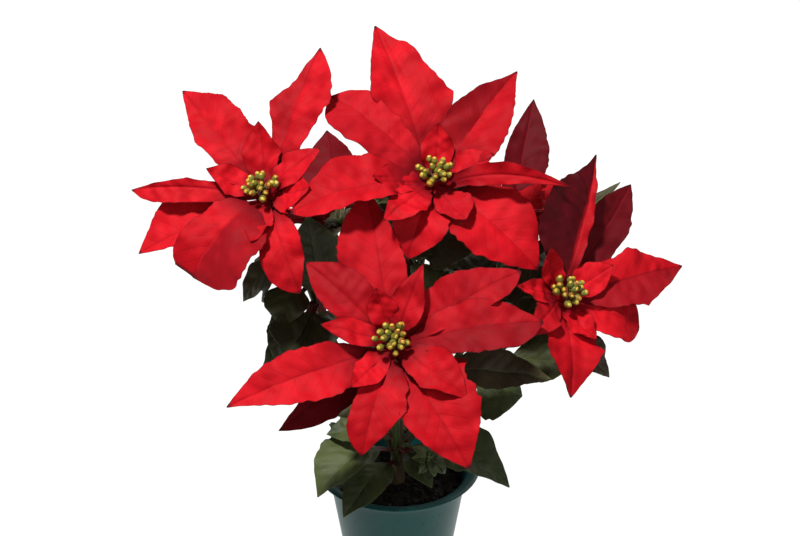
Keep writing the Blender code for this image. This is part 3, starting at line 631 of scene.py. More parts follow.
def add_blade(shape, root, tip, face, halves, arch, edges, settings, draw, rows, columns, skew=0.0,
              roll=0.0, fold=12.0, stalk=0.12, wave=1.2, blush=0.0, base=0.0, young=False):
    """Adds one closed blade: its place, fold, roll and waves are the solid's; veins, puckers, small
    waves, loose folds and a thin rib under it are finer."""
    place = np.linspace(0, 1, rows)
    share = np.linspace(-1, 1, columns + 1)
    line, out, side = blade_rib(root, tip, face, arch, skew, roll, place)
    reach = np.linalg.norm(tip - root)
    span = np.clip((place - stalk) / (1 - stalk), 0, 1)
    slope = (radians(fold) * np.minimum(1, FOLD_AT_STALK + FOLD_RAMP * span))[:, None]
    swing = wave * np.minimum(1, np.minimum(WAVE_RAMP_UP * span, WAVE_RAMP_DOWN * (1 - span)))
    least = STALK_HALF_WIDTH * np.clip((1 - place) * 12, 0.1, 1)
    least += base * np.clip(place / stalk - 0.3, 0, 1) * (place < 0.5)
    both = [
        blade_edge(edge, half, shift, least, reach, span, swing, draw)
        for edge, half, shift in zip(edges, halves, (EDGE_WAVE_SHIFT, 0))
    ]
    left = share < 0
    half, coarse, fine = (np.where(left, one[:, None], other[:, None]) for one, other in zip(*both))
    away = np.abs(share)
    across = share * half
    along = np.broadcast_to((place * reach)[:, None], across.shape)

    spacing = settings.vein_spacing / MM * (YOUNG_SPACING if young else 1)
    full = np.clip(span * 5, 0, 1)[:, None] * np.clip((1 - span) * 6, 0, 1)[:, None]
    pucker = settings.pucker / MM * (0.5 + 0.5 * np.cos(2 * pi * vein_phase(across, along, spacing))) * full
    pucker *= np.clip(np.abs(across) / 4, 0, 1) * (1 - away**4)
    broad, small_folds = (waves(draw, *sizes)(across, along) for sizes in FOLDS)
    loose = broad + 0.3 * small_folds
    if young:
        broad, small_folds = (waves(draw, *sizes)(across, along) for sizes in YOUNG_FOLDS)
        loose = broad + 0.4 * small_folds
    fading = np.exp(-((span[:, None] - PLEAT_PLACE) / PLEAT_REACH) ** 2)
    pleats = np.cos(across / (PLEAT_WIDTH * half + 2) * pi) * fading
    loose = settings.crumple / MM * full * (loose + 0.5 * pleats)
    round_fold = np.sqrt(across**2 + 4) - 2
    lift = round_fold * np.sin(slope) + coarse * away**1.4 + settings.ripple / MM * fine * away**2.2
    lift += pucker + loose - GROOVE_DEPTH * np.exp(-(across / GROOVE_WIDTH) ** 2) * full
    upper = line[:, None] + side[:, None] * (across * np.cos(slope))[..., None]
    upper += out[:, None] * lift[..., None]

    facing = unit(np.cross(np.gradient(upper, axis=1), np.gradient(upper, axis=0)))
    rib = (RIB_DEPTH * np.clip(1.15 - place / 0.8, 0.12, 1))[:, None] * np.exp(-(across / RIB_WIDTH) ** 2)
    thick = settings.thickness / MM * (1 - 0.45 * away**2) + rib
    thick = np.minimum(thick, np.maximum(0.25, 1.6 * half))
    lower = upper - facing * thick[..., None]

    index = np.arange(across.size).reshape(across.shape)
    under = index + index.size
    faces = [quads(index), quads(under)[:, ::-1]]
    for line_up, line_down in (
        (index[::-1, 0], under[::-1, 0]), (index[:, -1], under[:, -1]),
        (index[0], under[0]), (index[-1, ::-1], under[-1, ::-1]),
    ):
        faces.append(quads(np.stack([line_down, line_up])))
    # blush is a leaf's own maroon; for a bract it is painted shade, how far each half is darkened for the
    # shade it lies in
    blush_and_painted_shade = np.where(left, *np.broadcast_to(blush, 2))
    known = {
        "blade_mm": (across, along, half),
        "blade_share": (share, span[:, None], 0),
        "blade_look": (draw.random(), blush_and_painted_shade, young),
    }
    notes = {}
    for name, values in known.items():
        grid = np.stack([np.broadcast_to(value, across.shape) for value in values], axis=-1)
        notes[name] = np.concatenate([grid, grid]).reshape(-1, 3).astype(float)
    notes["blade_share"][index.size:, 2] = 1
    shape.add(np.concatenate([upper, lower]), np.concatenate(faces), **notes)


def put(tree, kind, sockets=(), **settings):
    """Adds a node of a kind, or takes one that is there, with its settings and the values of its
    sockets, by name or in their order. A value is a number, a colour, another node's output, or another
    node, which stands for its first output in use."""
    node = kind if isinstance(kind, bpy.types.Node) else tree.nodes.new("ShaderNode" + kind)
    for name, value in settings.items():
        setattr(node, name, value)
    for key, value in sockets.items() if isinstance(sockets, dict) else enumerate(sockets):
        socket = node.inputs[key]
        if isinstance(value, bpy.types.Node):
            value = next(output for output in value.outputs if output.enabled)
        if isinstance(value, bpy.types.NodeSocket):
            tree.links.new(value, socket)
        elif socket.type == "RGBA":
            socket.default_value = (*value, 1)
        else:
            socket.default_value = value
    return node


def new_material(name):
    """A material with one Principled shader; returns the material, its tree and the shader."""
    material = bpy.data.materials.new(name)
    material.use_nodes = True
    return material, material.node_tree, material.node_tree.nodes["Principled BSDF"]


# sizes of the patterns in a blade's skin, in millimetres; its net of veins and its hairs are finer, and
# are drawn as coarse as they need to show
VEIN_WOBBLE_SIZE = 9
VEIN_NET = 3.4
MOTTLING = 26
SKIN_GRAIN = 0.9


def blade_material(name, settings, vein_strength, stalk, tip, blush_and_painted_shade, base_deepening_and_shade, roughness, gloss):
    """Living blade: soft waxy skin over a net of veins, so that it looks velvety and a little mottled."""
    material, tree, shader = new_material(name)
    place, share, look = (
        put(tree, "Attribute", attribute_name=note).outputs["Vector"]
        for note in ("blade_mm", "blade_share", "blade_look")
    )
    across, along, half = put(tree, "SeparateXYZ", [place]).outputs
    share, span, under = put(tree, "SeparateXYZ", [share]).outputs
    tint, blush, young = put(tree, "SeparateXYZ", [look]).outputs

    away = put(tree, "Math", [across], operation="ABSOLUTE")
    slant = put(tree, "Math", [away, VEIN_SLANT], operation="MULTIPLY")
    square = put(tree, "Math", [away, away], operation="MULTIPLY")
    slant = put(tree, "Math", [square, VEIN_CURVE, slant], operation="MULTIPLY_ADD")
    spacing = settings.vein_spacing / MM
    tighter = put(tree, "Math", [young, (YOUNG_SPACING - 1) * spacing, spacing], operation="MULTIPLY_ADD")
    turns = put(tree, "Math", [along, slant], operation="SUBTRACT")
    turns = put(tree, "Math", [turns, tighter], operation="DIVIDE")
    left = put(tree, "Math", [across, 0.0], operation="LESS_THAN")
    turns = put(tree, "Math", [left, 0.5, turns], operation="MULTIPLY_ADD")
    wobble = put(tree, "TexNoise", {"Vector": place, "Scale": 1 / VEIN_WOBBLE_SIZE, "Detail": 1.0})
    turns = put(tree, "Math", [wobble, VEIN_WOBBLE, turns], operation="MULTIPLY_ADD")
    # a vein lies on every whole number and a half, so half a turn brings it to the fold of PINGPONG
    turns = put(tree, "Math", [turns, 0.5 - VEIN_WOBBLE / 2], operation="ADD")
    from_vein = put(tree, "Math", [turns, 0.5], operation="PINGPONG")
    side_vein = put(tree, "MapRange", [from_vein, 0.01, 0.13, 1.0, 0.0], interpolation_type="SMOOTHSTEP")
    towards_edge = put(tree, "Math", [share], operation="ABSOLUTE")
    inner = put(tree, "MapRange", [towards_edge, 0.45, 0.95, 1.0, 0.0], interpolation_type="SMOOTHSTEP")
    side_vein = put(tree, "Math", [side_vein, inner], operation="MULTIPLY")
    side_vein = put(tree, "Math", [side_vein, 0.5], operation="MULTIPLY")
    mid_vein = put(tree, "MapRange", [away, 0.3, 1.1, 1.0, 0.0], interpolation_type="SMOOTHSTEP")
    net = put(tree, "TexVoronoi", {"Vector": place, "Scale": 1 / VEIN_NET}, feature="DISTANCE_TO_EDGE")
    net = put(tree, "MapRange", [net, 0.0, 0.13, 1.0, 0.0], interpolation_type="SMOOTHSTEP")
    net = put(tree, "Math", [net, 0.22], operation="MULTIPLY")
    veins = put(tree, "Math", [mid_vein, net], operation="MAXIMUM")
    veins = put(tree, "Math", [side_vein, veins], operation="MAXIMUM")

    clouds = put(tree, "TexNoise", {"Vector": place, "Scale": 1 / MOTTLING, "Detail": 3.0})
    tint = put(tree, "MapRange", [tint, 0.0, 1.0, -0.175, 0.175])
    clouds = put(tree, "Math", [clouds, tint], operation="ADD")
    patches = put(tree, "MapRange", [clouds, 0.35, 0.68], interpolation_type="SMOOTHSTEP")
    # painted shade, and partly a real bract's deeper red at its foot: the colour goes towards the maroon
    # near the foot of each blade, deep in its head
    base = put(tree, "MapRange", [span, 0.0, 0.42, base_deepening_and_shade, 0.0], interpolation_type="SMOOTHSTEP")
    blush_and_shade = put(tree, "Math", [blush, base], operation="MAXIMUM")
    veiny = put(tree, "Math", [veins, vein_strength], operation="MULTIPLY")
    margin = put(tree, "Math", [half, away], operation="SUBTRACT")
    margin = put(tree, "MapRange", [margin, 0.1, 0.9, 0.55, 0.0], interpolation_type="SMOOTHSTEP")
    point = put(tree, "MapRange", [span, 0.955, 0.995, 0.0, 0.9], interpolation_type="SMOOTHSTEP")
    foot = put(tree, "MapRange", [span, 0.0, 0.05, 1.0, 0.0], interpolation_type="SMOOTHSTEP")
    skin = settings.deep
    for factor, tone in (
        (patches, settings.bright), (under, settings.under), (blush_and_shade, blush_and_painted_shade), (veiny, settings.vein),
        (margin, tip), (point, tip), (foot, stalk),
    ):
        skin = put(tree, "Mix", {0: factor, 6: skin, 7: tone}, data_type="RGBA")

    grain = put(tree, "TexNoise", {"Vector": place, "Scale": 1 / SKIN_GRAIN, "Detail": 2.0})
    grain = put(tree, "Math", [grain, 0.25], operation="MULTIPLY")
    height = put(tree, "Math", [grain, veins], operation="SUBTRACT")
    bump = put(tree, "Bump", {"Strength": 0.55, "Distance": 0.35 * MM, "Height": height})
    dull = put(tree, "Math", [clouds, 0.12, roughness - 0.06], operation="MULTIPLY_ADD")
    put(tree, shader, {
        "Base Color": skin, "Roughness": dull, "IOR": 1.42, "Specular IOR Level": gloss, "Normal": bump,
    })
    return material


def bract_root_and_tip(head, row):
    """Root and tip of one bract in world coordinates; takes their sizes out of its row."""
    right, up, toward = head.sight
    heading, reach, lift, seat = (row.pop(key) for key in ("heading", "reach", "lift", "seat"))
    flat = (right * cos(radians(heading)) + up * sin(radians(heading))) * reach
    tip = head.centre + flat + toward * (lift - flat @ head.axis) / (toward @ head.axis)
    outward = unit(flat - head.axis * (flat @ head.axis))
    return head.centre - head.axis * seat + outward, tip


# rows and columns of a blade's mesh
BRACT_MESH = 72, 28
YOUNG_MESH = 44, 16
LEAF_MESH = 60, 22
SHOOT_LEAF_MESH = 24, 10
# added to the half width of a bract's foot, so that the feet close round the hub
BASE_WIDENING = 5.0
HUB_SIDES = 12
# the hub's skin is that of a place between two veins
HUB_NOTES = {"blade_look": (0.5, 0, 0), "blade_mm": (3, 20, 9)}


class POINSETTIA_OT_bracts(Operator):
    """Red bracts of every head, around a hub that joins them to the stem"""

    bl_idname = "poinsettia.bracts"
    bl_label = "Make Bracts"

    def execute(self, context):
        settings = context.scene.poinsettia.bract
        # the feet of the bracts are darkened: painted shade, and partly their own deeper red
        material = blade_material(
            "velvety red bract", settings, vein_strength=0.4, stalk=settings.vein, tip=settings.tip,
            blush_and_painted_shade=settings.blush_and_painted_shade, base_deepening_and_shade=0.85, roughness=0.65, gloss=0.16,
        )
        for number, (name, head) in enumerate(HEADS.items()):
            draw = random.Random(SEED + number)
            shape = Shape()
            depths = np.array((NECK - TOUCH_GAP, NECK / 2, HUB_TOP))
            line = head.centre - head.axis * depths[:, None]
            hub = rings(line, head.axis, HUB_RADII, HUB_SIDES)
            shape.tube(hub, **HUB_NOTES)
            for place, row in enumerate(head.bracts):
                row = dict(row)
                if row.get("young"):
                    row["lift"] += YOUNG_LIFT
                root, tip = bract_root_and_tip(head, row)
                rows, columns = YOUNG_MESH if row.get("young") else BRACT_MESH
                # each bract that lies in shade is given its painted shade by its place in its head's list
                add_blade(
                    shape, root, tip, head.axis, settings=settings, draw=draw, rows=rows, columns=columns,
                    blush=PAINTED_SHADE[name].get(place, 0.0), base=BASE_WIDENING, **row,
                )
            piece = shape.object(f"{name}_red_bracts", [material])
            settle(piece, "bract", f"{name}_bracts")
        return {"FINISHED"}


STEM_RINGS = 60
STEM_SIDES = 16
# swelling of a stem a little above each leaf's foot, as shares of its length and of its radius
KNOT_RISE = 0.01
KNOT_LENGTH = 0.018
KNOT_SWELLING = 0.16
# a leaf turns maroon from this place along its stem on, as fast as this, and no further than this
BLUSH_START = 0.45
BLUSH_RISE = 1.6
BLUSH_LIMIT = 0.85


class POINSETTIA_OT_stems(Operator):
    """Green stems with their leaves"""

    bl_idname = "poinsettia.stems"
    bl_label = "Make Stems and Leaves"

    def execute(self, context):
        settings = context.scene.poinsettia.leaf
        leaf_skin = blade_material(
            "waxy green leaf", settings, vein_strength=0.5, stalk=settings.stalk, tip=settings.vein,
            blush_and_painted_shade=settings.blush, base_deepening_and_shade=0.0, roughness=0.55, gloss=0.4,
        )
        stem_skin = stem_material(context.scene.poinsettia.stem)
        for number, (name, head) in enumerate(HEADS.items()):
            draw = random.Random(SEED + 40 + number)
            shape = Shape()
            place = np.linspace(0, 1, STEM_RINGS)
            line, direction = along_curve(head.curve, place)
            radii = STEM_RADIUS + (STEM_TOP_RADIUS - STEM_RADIUS) * place
            knots = sum(
                np.exp(-((place - row["place"] - KNOT_RISE) / KNOT_LENGTH) ** 2) for row in head.leaves
            )
            tube = rings(line, direction, radii * (1 + KNOT_SWELLING * knots), STEM_SIDES)
            shape.tube(tube, 1, blade_share=stem_notes(place, STEM_SIDES))
            for row in head.leaves:
                row = {"edges": (SLENDER, SLENDER), "stalk": LEAF_STALK, **row}
                at, tip, face = (row.pop(key) for key in ("place", "tip", "face"))
                root = along_curve(head.curve, [at])[0][0]
                add_blade(
                    shape, root, np.array(tip, float), unit(face), settings=settings, draw=draw,
                    rows=LEAF_MESH[0], columns=LEAF_MESH[1], blush=leaf_blush(at), **row,
                )
            for at, end, leaves in SHOOTS.get(name, ()):
                root = along_curve(head.curve, [at])[0][0]
                add_shoot(shape, root, np.array(end, float), leaves, settings, draw, leaf_blush(at))
            piece = shape.object(f"{name}_leafy_stem", [leaf_skin, stem_skin])
            settle(piece, "leaf", f"{name}_stem")
        return {"FINISHED"}


def leaf_blush(at):
    """How far a leaf has gone maroon: the leaves near the bracts are the reddest."""
    return max(0.0, min(BLUSH_LIMIT, (at - BLUSH_START) * BLUSH_RISE))


def add_shoot(shape, root, end, leaves, settings, draw, blush):
    """A side shoot: a short stalk with small young leaves round a cluster of green buds."""
    lift = (root + end) / 2 + np.array((0, 0, SHOOT_RISE))
    place = np.linspace(0, 1, SHOOT_RINGS)
    line, direction = along_curve((root, lift, lift, end), place)
    tube = rings(line, direction, np.linspace(*SHOOT_RADII, SHOOT_RINGS), SHOOT_SIDES)
    shape.tube(tube, 1, blade_share=stem_notes(0.5 + place / 2, SHOOT_SIDES))
    ahead = unit(direction[-1] + np.array((0, -0.3, 0.8)))
    across = unit(np.cross(ahead, SIGHT_TOWARD))
    beside = np.cross(across, ahead)
    for number in range(leaves):
        angle = number * GOLDEN_ANGLE
        outward = across * cos(angle) + beside * sin(angle)
        reach = draw.uniform(*SHOOT_LEAF)
        tip = end + outward * reach + ahead * reach * draw.uniform(-0.1, 0.5)
        half = reach * SHOOT_LEAF_HALF
        add_blade(
            shape, end - ahead * 1.5, tip, ahead, (half, half), 3, (SLENDER, SLENDER), settings, draw,
            *SHOOT_LEAF_MESH, wave=0.5, blush=blush, young=True,
        )
    latitude = np.linspace(0.05, pi - 0.05, BUD_RINGS)
    for number in range(BUDS):
        angle = number * GOLDEN_ANGLE
        outward = across * cos(angle) + beside * sin(angle)
        centre = end + outward * BUD_RADIUS * sqrt(number) * 0.8 + ahead * 1.5
        stops = centre - ahead * BUD_RADIUS * np.cos(latitude)[:, None]
        ball = rings(stops, ahead, BUD_RADIUS * np.sin(latitude), SHOOT_SIDES)
        shape.tube(ball, 1, blade_share=(0, 1, 0))


def stem_notes(place, sides):
    """What each ring of a stem knows: its place from foot to neck."""
    notes = np.zeros((len(place), sides, 3))
    notes[..., 1] = place[:, None]
    return notes.reshape(-1, 3)


# sizes of the patterns in the stems and the trunk, in millimetres
CORK_SPOTS = 3.85
BARK_CRACKS = 2.38


def stem_material(settings):
    """Smooth young stem that turns to brown cork towards its foot, so that its foot looks dull."""
    material, tree, shader = new_material("green stem")
    share = put(tree, "Attribute", attribute_name="blade_share").outputs["Vector"]
    place = put(tree, "SeparateXYZ", [share]).outputs["Y"]
    where = put(tree, "TexCoord").outputs["Object"]
    cork = put(tree, "TexNoise", {"Vector": where, "Scale": 1 / (CORK_SPOTS * MM), "Detail": 3.0})
    age = put(tree, "MapRange", [place, 0.0, 0.35, 1.0, 0.0])
    spots = put(tree, "Math", [cork, age], operation="MULTIPLY")
    factor = put(tree, "Math", [spots, 1.7], operation="MULTIPLY", use_clamp=True)
    skin = put(tree, "Mix", {0: factor, 6: settings.young, 7: settings.old}, data_type="RGBA")
    bump = put(tree, "Bump", {"Strength": 0.4, "Distance": 0.3 * MM, "Height": cork})
    put(tree, shader, {"Base Color": skin, "Roughness": 0.5, "IOR": 1.42, "Normal": bump})
    return material


def bark_material(settings):
    """Young bark: dull brown, with fine cracks that run up the trunk."""
    material, tree, shader = new_material("young bark")
    where = put(tree, "TexCoord").outputs["Object"]
    longer = put(tree, "Mapping", {"Vector": where, "Scale": (1.0, 1.0, 0.25)})
    cracks = put(tree, "TexNoise", {"Vector": longer, "Scale": 1 / (BARK_CRACKS * MM), "Detail": 4.0})
    skin = put(tree, "Mix", {0: cracks, 6: settings.old, 7: settings.bark}, data_type="RGBA")
    bump = put(tree, "Bump", {"Strength": 0.7, "Distance": 0.6 * MM, "Height": cracks})
    put(tree, shader, {"Base Color": skin, "Roughness": 0.8, "IOR": 1.45, "Normal": bump})
    return material


# leaf scars: their heights on the trunk and the ways that they face, half their height and their rise
LEAF_SCARS = (136, 0.6), (146, 3.2), (156, 5.4), (168, 1.9), (178, 4.2)
SCAR_HEIGHT = 1.6
SCAR_RISE = 0.4
TRUNK_RINGS = 90
TRUNK_SIDES = 28
# the bark's waves: how many, the shortest and the longest in millimetres, their height, and how deep
# they lie in the solid
BARK_WAVES = 7, 3, 16
BARK_HEIGHT = 0.22
BARK_DEPTH = 0.35


class POINSETTIA_OT_trunk(Operator):
    """Short woody trunk"""

    bl_idname = "poinsettia.trunk"
    bl_label = "Make Trunk"

    def execute(self, context):
        draw = random.Random(SEED + 90)
        rough = waves(draw, *BARK_WAVES)
        height = np.linspace(TRUNK_FOOT, TRUNK_TOP, TRUNK_RINGS)
        angle = np.arange(TRUNK_SIDES) * 2 * pi / TRUNK_SIDES
        scars = sum(
            np.exp(-((height - at) / SCAR_HEIGHT) ** 2)[:, None] * (0.5 + 0.5 * np.cos(angle - way))[None]
            for at, way in LEAF_SCARS
        )
        solid = trunk_radius(height)[:, None]
        bark = BARK_HEIGHT * rough(angle[None] * 6, height[:, None] * 0.4)
        radius = solid - BARK_DEPTH + bark + SCAR_RISE * scars
        shape = Shape()
        shape.tube(upright(height, np.minimum(radius, solid), TRUNK_SIDES))
        material = bark_material(context.scene.poinsettia.stem)
        settle(shape.object("woody_trunk", [material]), "bark", "trunk")
        return {"FINISHED"}


RECEPTACLE_SIDES = 16
# rings of the receptacle under the cyathia: depth below the middle of the head, and radius
RECEPTACLE = (HUB_TOP - TOUCH_GAP, 4.2), (2.4, 5.6), (0.6, 6.6), (-0.9, 5.0), (-1.6, 1.5)
# rings of a cup: place from its foot to its mouth, and share of its radius
CUP_PROFILE = (
    (0.0, 0.30), (0.12, 0.66), (0.28, 0.92), (0.45, 1.0), (0.62, 0.96),
    (0.78, 0.80), (0.90, 0.58), (0.97, 0.42), (0.90, 0.26),
)
CUP_LENGTH = 2.4
CUP_SIDES = 14
# how much one cup may differ from the next: its turn round the head, its size, its height in
# millimetres and its reach
CUP_TURNS = -0.35, 0.35
CUP_SIZES = 0.78, 1.08
CUP_RISES = -1.4, 1.0
CUP_REACHES = 0.86, 1.12
# root of the outermost stalk: distance from the middle of the head, and depth
CUP_ROOT_REACH = 5.2
CUP_ROOT_DEPTH = 1.2
# how high a cup stands above the head at the middle of the cluster, and how much lower at its edge
CLUSTER_HEIGHT = 8.5
CLUSTER_FALL = 5.5
CUP_STALK_RADIUS = 0.75
# half width, half height and depth of a gland, as shares of its cup's radius
GLAND_SIZE = 0.66, 0.50, 0.42
GLAND_TURNS = -0.2, 0.2
# how many stamens a cup may have, and their places round it; how much they differ in turn, lean and
# length
STAMENS = 3, 4, 5
STAMEN_PLACES = 5
STAMEN_TURNS = -0.4, 0.4
STAMEN_LEANS = 0.3, 0.9
STAMEN_LENGTHS = 0.5, 1.3
STAMEN_STOPS = 0, 0.5, 0.8, 1.0
STAMEN_RADII = 0.26, 0.24, 0.44, 0.2
# sizes of the patterns in the glands and the stamens, in millimetres; grains of pollen are far finer,
# and are drawn as coarse as they need to show
GLAND_SPOTS = 5.56
STAMEN_SPOTS = 2.38


class POINSETTIA_OT_cyathia(Operator):
    """Clusters of cyathia: green cups with a yellow gland and a red tuft"""

    bl_idname = "poinsettia.cyathia"
    bl_label = "Make Cyathia"

    def execute(self, context):
        settings = context.scene.poinsettia.cyathium
        materials = cyathium_materials(settings)
        for number, (name, head) in enumerate(HEADS.items()):
            draw = random.Random(SEED + 70 + number)
            shape = Shape()
            depths, radii = np.transpose(RECEPTACLE)
            line = head.centre - head.axis * depths[:, None]
            shape.tube(rings(line, head.axis, radii, RECEPTACLE_SIDES), 3)
            for bud in range(settings.count):
                add_cyathium(shape, head, settings, bud, draw)
            settle(shape.object(f"{name}_yellow_cyathia", materials), "cyathium", f"{name}_cyathia")
        return {"FINISHED"}


def add_cyathium(shape, head, settings, bud, draw):
    """One cyathium on its stalk, with its gland turned out and up."""
    share = sqrt((bud + 0.4) / settings.count)
    angle = bud * GOLDEN_ANGLE + draw.uniform(*CUP_TURNS)
    across = unit(SIGHT_RIGHT - head.axis * head.axis[0])
    outward = across * cos(angle) + np.cross(head.axis, across) * sin(angle)
    size = settings.radius / MM * draw.uniform(*CUP_SIZES)
    height = CLUSTER_HEIGHT - CLUSTER_FALL * share**2 + draw.uniform(*CUP_RISES)
    reach = (settings.spread / MM - size) * min(1, share * draw.uniform(*CUP_REACHES))
    middle = head.centre + outward * reach + head.axis * height
    root = head.centre + outward * CUP_ROOT_REACH * share - head.axis * CUP_ROOT_DEPTH
    up = unit(unit(middle - root) + head.axis * 0.5 + outward * 0.2)
    foot = middle - up * size * 1.2
    stalk = np.linspace(0, 1, 6)[:, None] * (foot + up * size * 0.3 - root) + root
    shape.tube(rings(stalk, unit(foot - root), CUP_STALK_RADIUS, 8))
    place, width = np.transpose(CUP_PROFILE)
    cup = rings(foot + up * place[:, None] * size * CUP_LENGTH, up, width * size, CUP_SIDES)
    shape.tube(cup, blade_look=(draw.random(), 0, 0), blade_share=stem_notes(place, CUP_SIDES))
    add_gland(shape, middle, up, outward, head.axis, size, draw)
    top = foot + up * size * 2.25
    beside = unit(np.cross(up, outward + 0.01))
    for stamen in range(draw.choice(STAMENS)):
        turn = stamen * 2 * pi / STAMEN_PLACES + draw.uniform(*STAMEN_TURNS)
        aside = beside * cos(turn) + np.cross(up, beside) * sin(turn)
        lean = unit(up * 1.5 + aside * draw.uniform(*STAMEN_LEANS))
        tall = draw.uniform(*STAMEN_LENGTHS)
        line = top - up * 0.4 + lean * np.array(STAMEN_STOPS)[:, None] * tall
        shape.tube(rings(line, lean, STAMEN_RADII, 6), 2)


def add_gland(shape, middle, up, outward, axis, size, draw):
    """The yellow gland: a two-lipped cushion on the upper outer side of the cup."""
    turned = draw.uniform(*GLAND_TURNS) * np.cross(axis, outward)
    side = unit(outward * 0.6 + axis * 0.7 + SIGHT_TOWARD * 0.35 + turned)
    side = unit(side - up * (side @ up) * 0.6)
    centre = middle + side * size * 0.62 + up * size * 0.42
    wide = unit(np.cross(up, side))
    tall = np.cross(side, wide)
    latitude = np.linspace(0.02, pi - 0.02, 8)[:, None]
    longitude = np.arange(CUP_SIDES)[None] * 2 * pi / CUP_SIDES
    lips = 1 - 0.28 * np.exp(-(np.cos(longitude) * np.sin(latitude) / 0.3) ** 2) * (np.cos(latitude) > 0)
    half_width, half_height, depth = (share * size for share in GLAND_SIZE)
    x = np.sin(latitude) * np.sin(longitude) * half_width
    y = np.sin(latitude) * np.cos(longitude) * half_height
    z = np.cos(latitude) * depth * lips
    shape.tube(centre + wide * x[..., None] + tall * y[..., None] + side * z[..., None], 1)


def cyathium_materials(settings):
    """Waxy green-yellow cup, glossy wet gland, red tufts and the dark red floor between them."""
    cup, tree, shader = new_material("waxy cyathium cup")
    look, share = (
        put(tree, "Attribute", attribute_name=note).outputs["Vector"]
        for note in ("blade_look", "blade_share")
    )
    tint = put(tree, "SeparateXYZ", [look]).outputs["X"]
    height = put(tree, "SeparateXYZ", [share]).outputs["Y"]
    age = put(tree, "MapRange", [tint, 0.2, 0.9])
    body = put(tree, "Mix", {0: age, 6: settings.green, 7: settings.cup}, data_type="RGBA")
    rim = put(tree, "MapRange", [height, 0.66, 0.92])
    rosy = put(tree, "MapRange", [tint, 0.5, 0.75])
    rim = put(tree, "Math", [rim, rosy], operation="MULTIPLY")
    skin = put(tree, "Mix", {0: rim, 6: body, 7: settings.tuft}, data_type="RGBA")
    put(tree, shader, {"Base Color": skin, "Roughness": 0.42, "IOR": 1.42})

    spotted = []
    for name, main, patch, size, low, high, roughness, bending in (
        ("wet nectar gland", settings.gland, settings.ripe, GLAND_SPOTS, 0.42, 0.62, 0.22, 1.4),
        ("red stamen", settings.tuft, settings.pollen, STAMEN_SPOTS, 0.45, 0.60, 0.5, 1.42),
    ):
        material, tree, shader = new_material(name)
        where = put(tree, "TexCoord").outputs["Object"]
        spots = put(tree, "TexNoise", {"Vector": where, "Scale": 1 / (size * MM)})
        factor = put(tree, "MapRange", [spots, low, high])
        skin = put(tree, "Mix", {0: factor, 6: main, 7: patch}, data_type="RGBA")
        put(tree, shader, {"Base Color": skin, "Roughness": roughness, "IOR": bending})
        spotted.append(material)

    floor, tree, shader = new_material("dark red receptacle")
    put(tree, shader, {"Base Color": settings.receptacle, "Roughness": 0.6, "IOR": 1.42})
    return [cup, *spotted, floor]


THROAT_HEIGHT = 127.0
POT_FLOOR = 2.4
# the flared lip, as shares of its reach beyond the throat and of its height above it
LIP_OUTSIDE = (
    (0.0, 0.0), (.06, .20), (.17, .42), (.34, .62), (.54, .77),
    (.78, .85), (.95, .87), (1, .92), (.98, .98), (.93, 1),
)
LIP_INSIDE = (.80, .985), (.60, .95), (.44, .89), (.26, .76), (.14, .62), (.04, .42), (0, .2)
# the foot ring: distance beyond the base's radius, and height; the floor between lies at its first height
FOOT_RING = (-3.4, 0.9), (-2.6, 0.0), (-1.1, 0.0), (-0.3, 0.3), (0, 1.1)
DRAIN_HOLES = 6
DRAIN_RADIUS = 4.0
DRAIN_CIRCLE_RADIUS = 30.0
# even bands of mesh in the pot's floor: this far on both sides of the drain holes' circle
DRAIN_BAND = 6
FLOOR_MIDDLE_RADIUS = 2
# sides of the solid pot, which place the drain holes, and of the pot here
SOLID_SIDES = 36
POT_SIDES = 144
POT_SMOOTH = radians(30)
# sizes of the patterns in the plastic, in millimetres; the grain that the mould leaves is finer, and is
# drawn as coarse as it needs to show
PLASTIC_GRAIN = 1.11
PLASTIC_CLOUDS = 35.7
DIRT_SPOTS = 6.25


class POINSETTIA_OT_pot(Operator):
    """Moulded plastic pot"""

    bl_idname = "poinsettia.pot"
    bl_label = "Make Pot"

    def execute(self, context):
        settings = context.scene.poinsettia.pot
        height, rim, base, throat, wall = (
            getattr(settings, name) / MM
            for name in ("height", "rim_radius", "base_radius", "throat_radius", "wall")
        )
        reach, deep = rim - throat, height - THROAT_HEIGHT
        outside = [(throat + reach * out, THROAT_HEIGHT + deep * up) for out, up in LIP_OUTSIDE]
        inside = [(throat - wall + reach * out, THROAT_HEIGHT + deep * up) for out, up in LIP_INSIDE]
        foot = [(base + out, up) for out, up in FOOT_RING]
        under, start = FOOT_RING[0][1], FOOT_RING[-1][1]
        side = [
            (base + (throat - base) * share, start + (THROAT_HEIGHT - start) * share)
            for share in np.linspace(0, 1, 20)[1:-1]
        ]
        inner = [
            (base - wall + (throat - base) * share, POT_FLOOR + (THROAT_HEIGHT - POT_FLOOR) * share)
            for share in np.linspace(1, 0, 16)
        ]
        bands = FLOOR_MIDDLE_RADIUS, DRAIN_CIRCLE_RADIUS - DRAIN_BAND, DRAIN_CIRCLE_RADIUS + DRAIN_BAND
        below = [(radius, under) for radius in bands]
        floor = [(radius, POT_FLOOR) for radius in bands[::-1]]
        radii, heights = np.transpose([*below, *foot, *side, *outside, *inside, *inner[1:], *floor])
        shape = Shape()
        shape.tube(upright(heights, radii, POT_SIDES))
        piece = shape.object("teal_pot", [pot_material(settings)], smooth=POT_SMOOTH)
        drill_holes(piece)
        settle(piece, "pot_plastic", "pot")
        return {"FINISHED"}


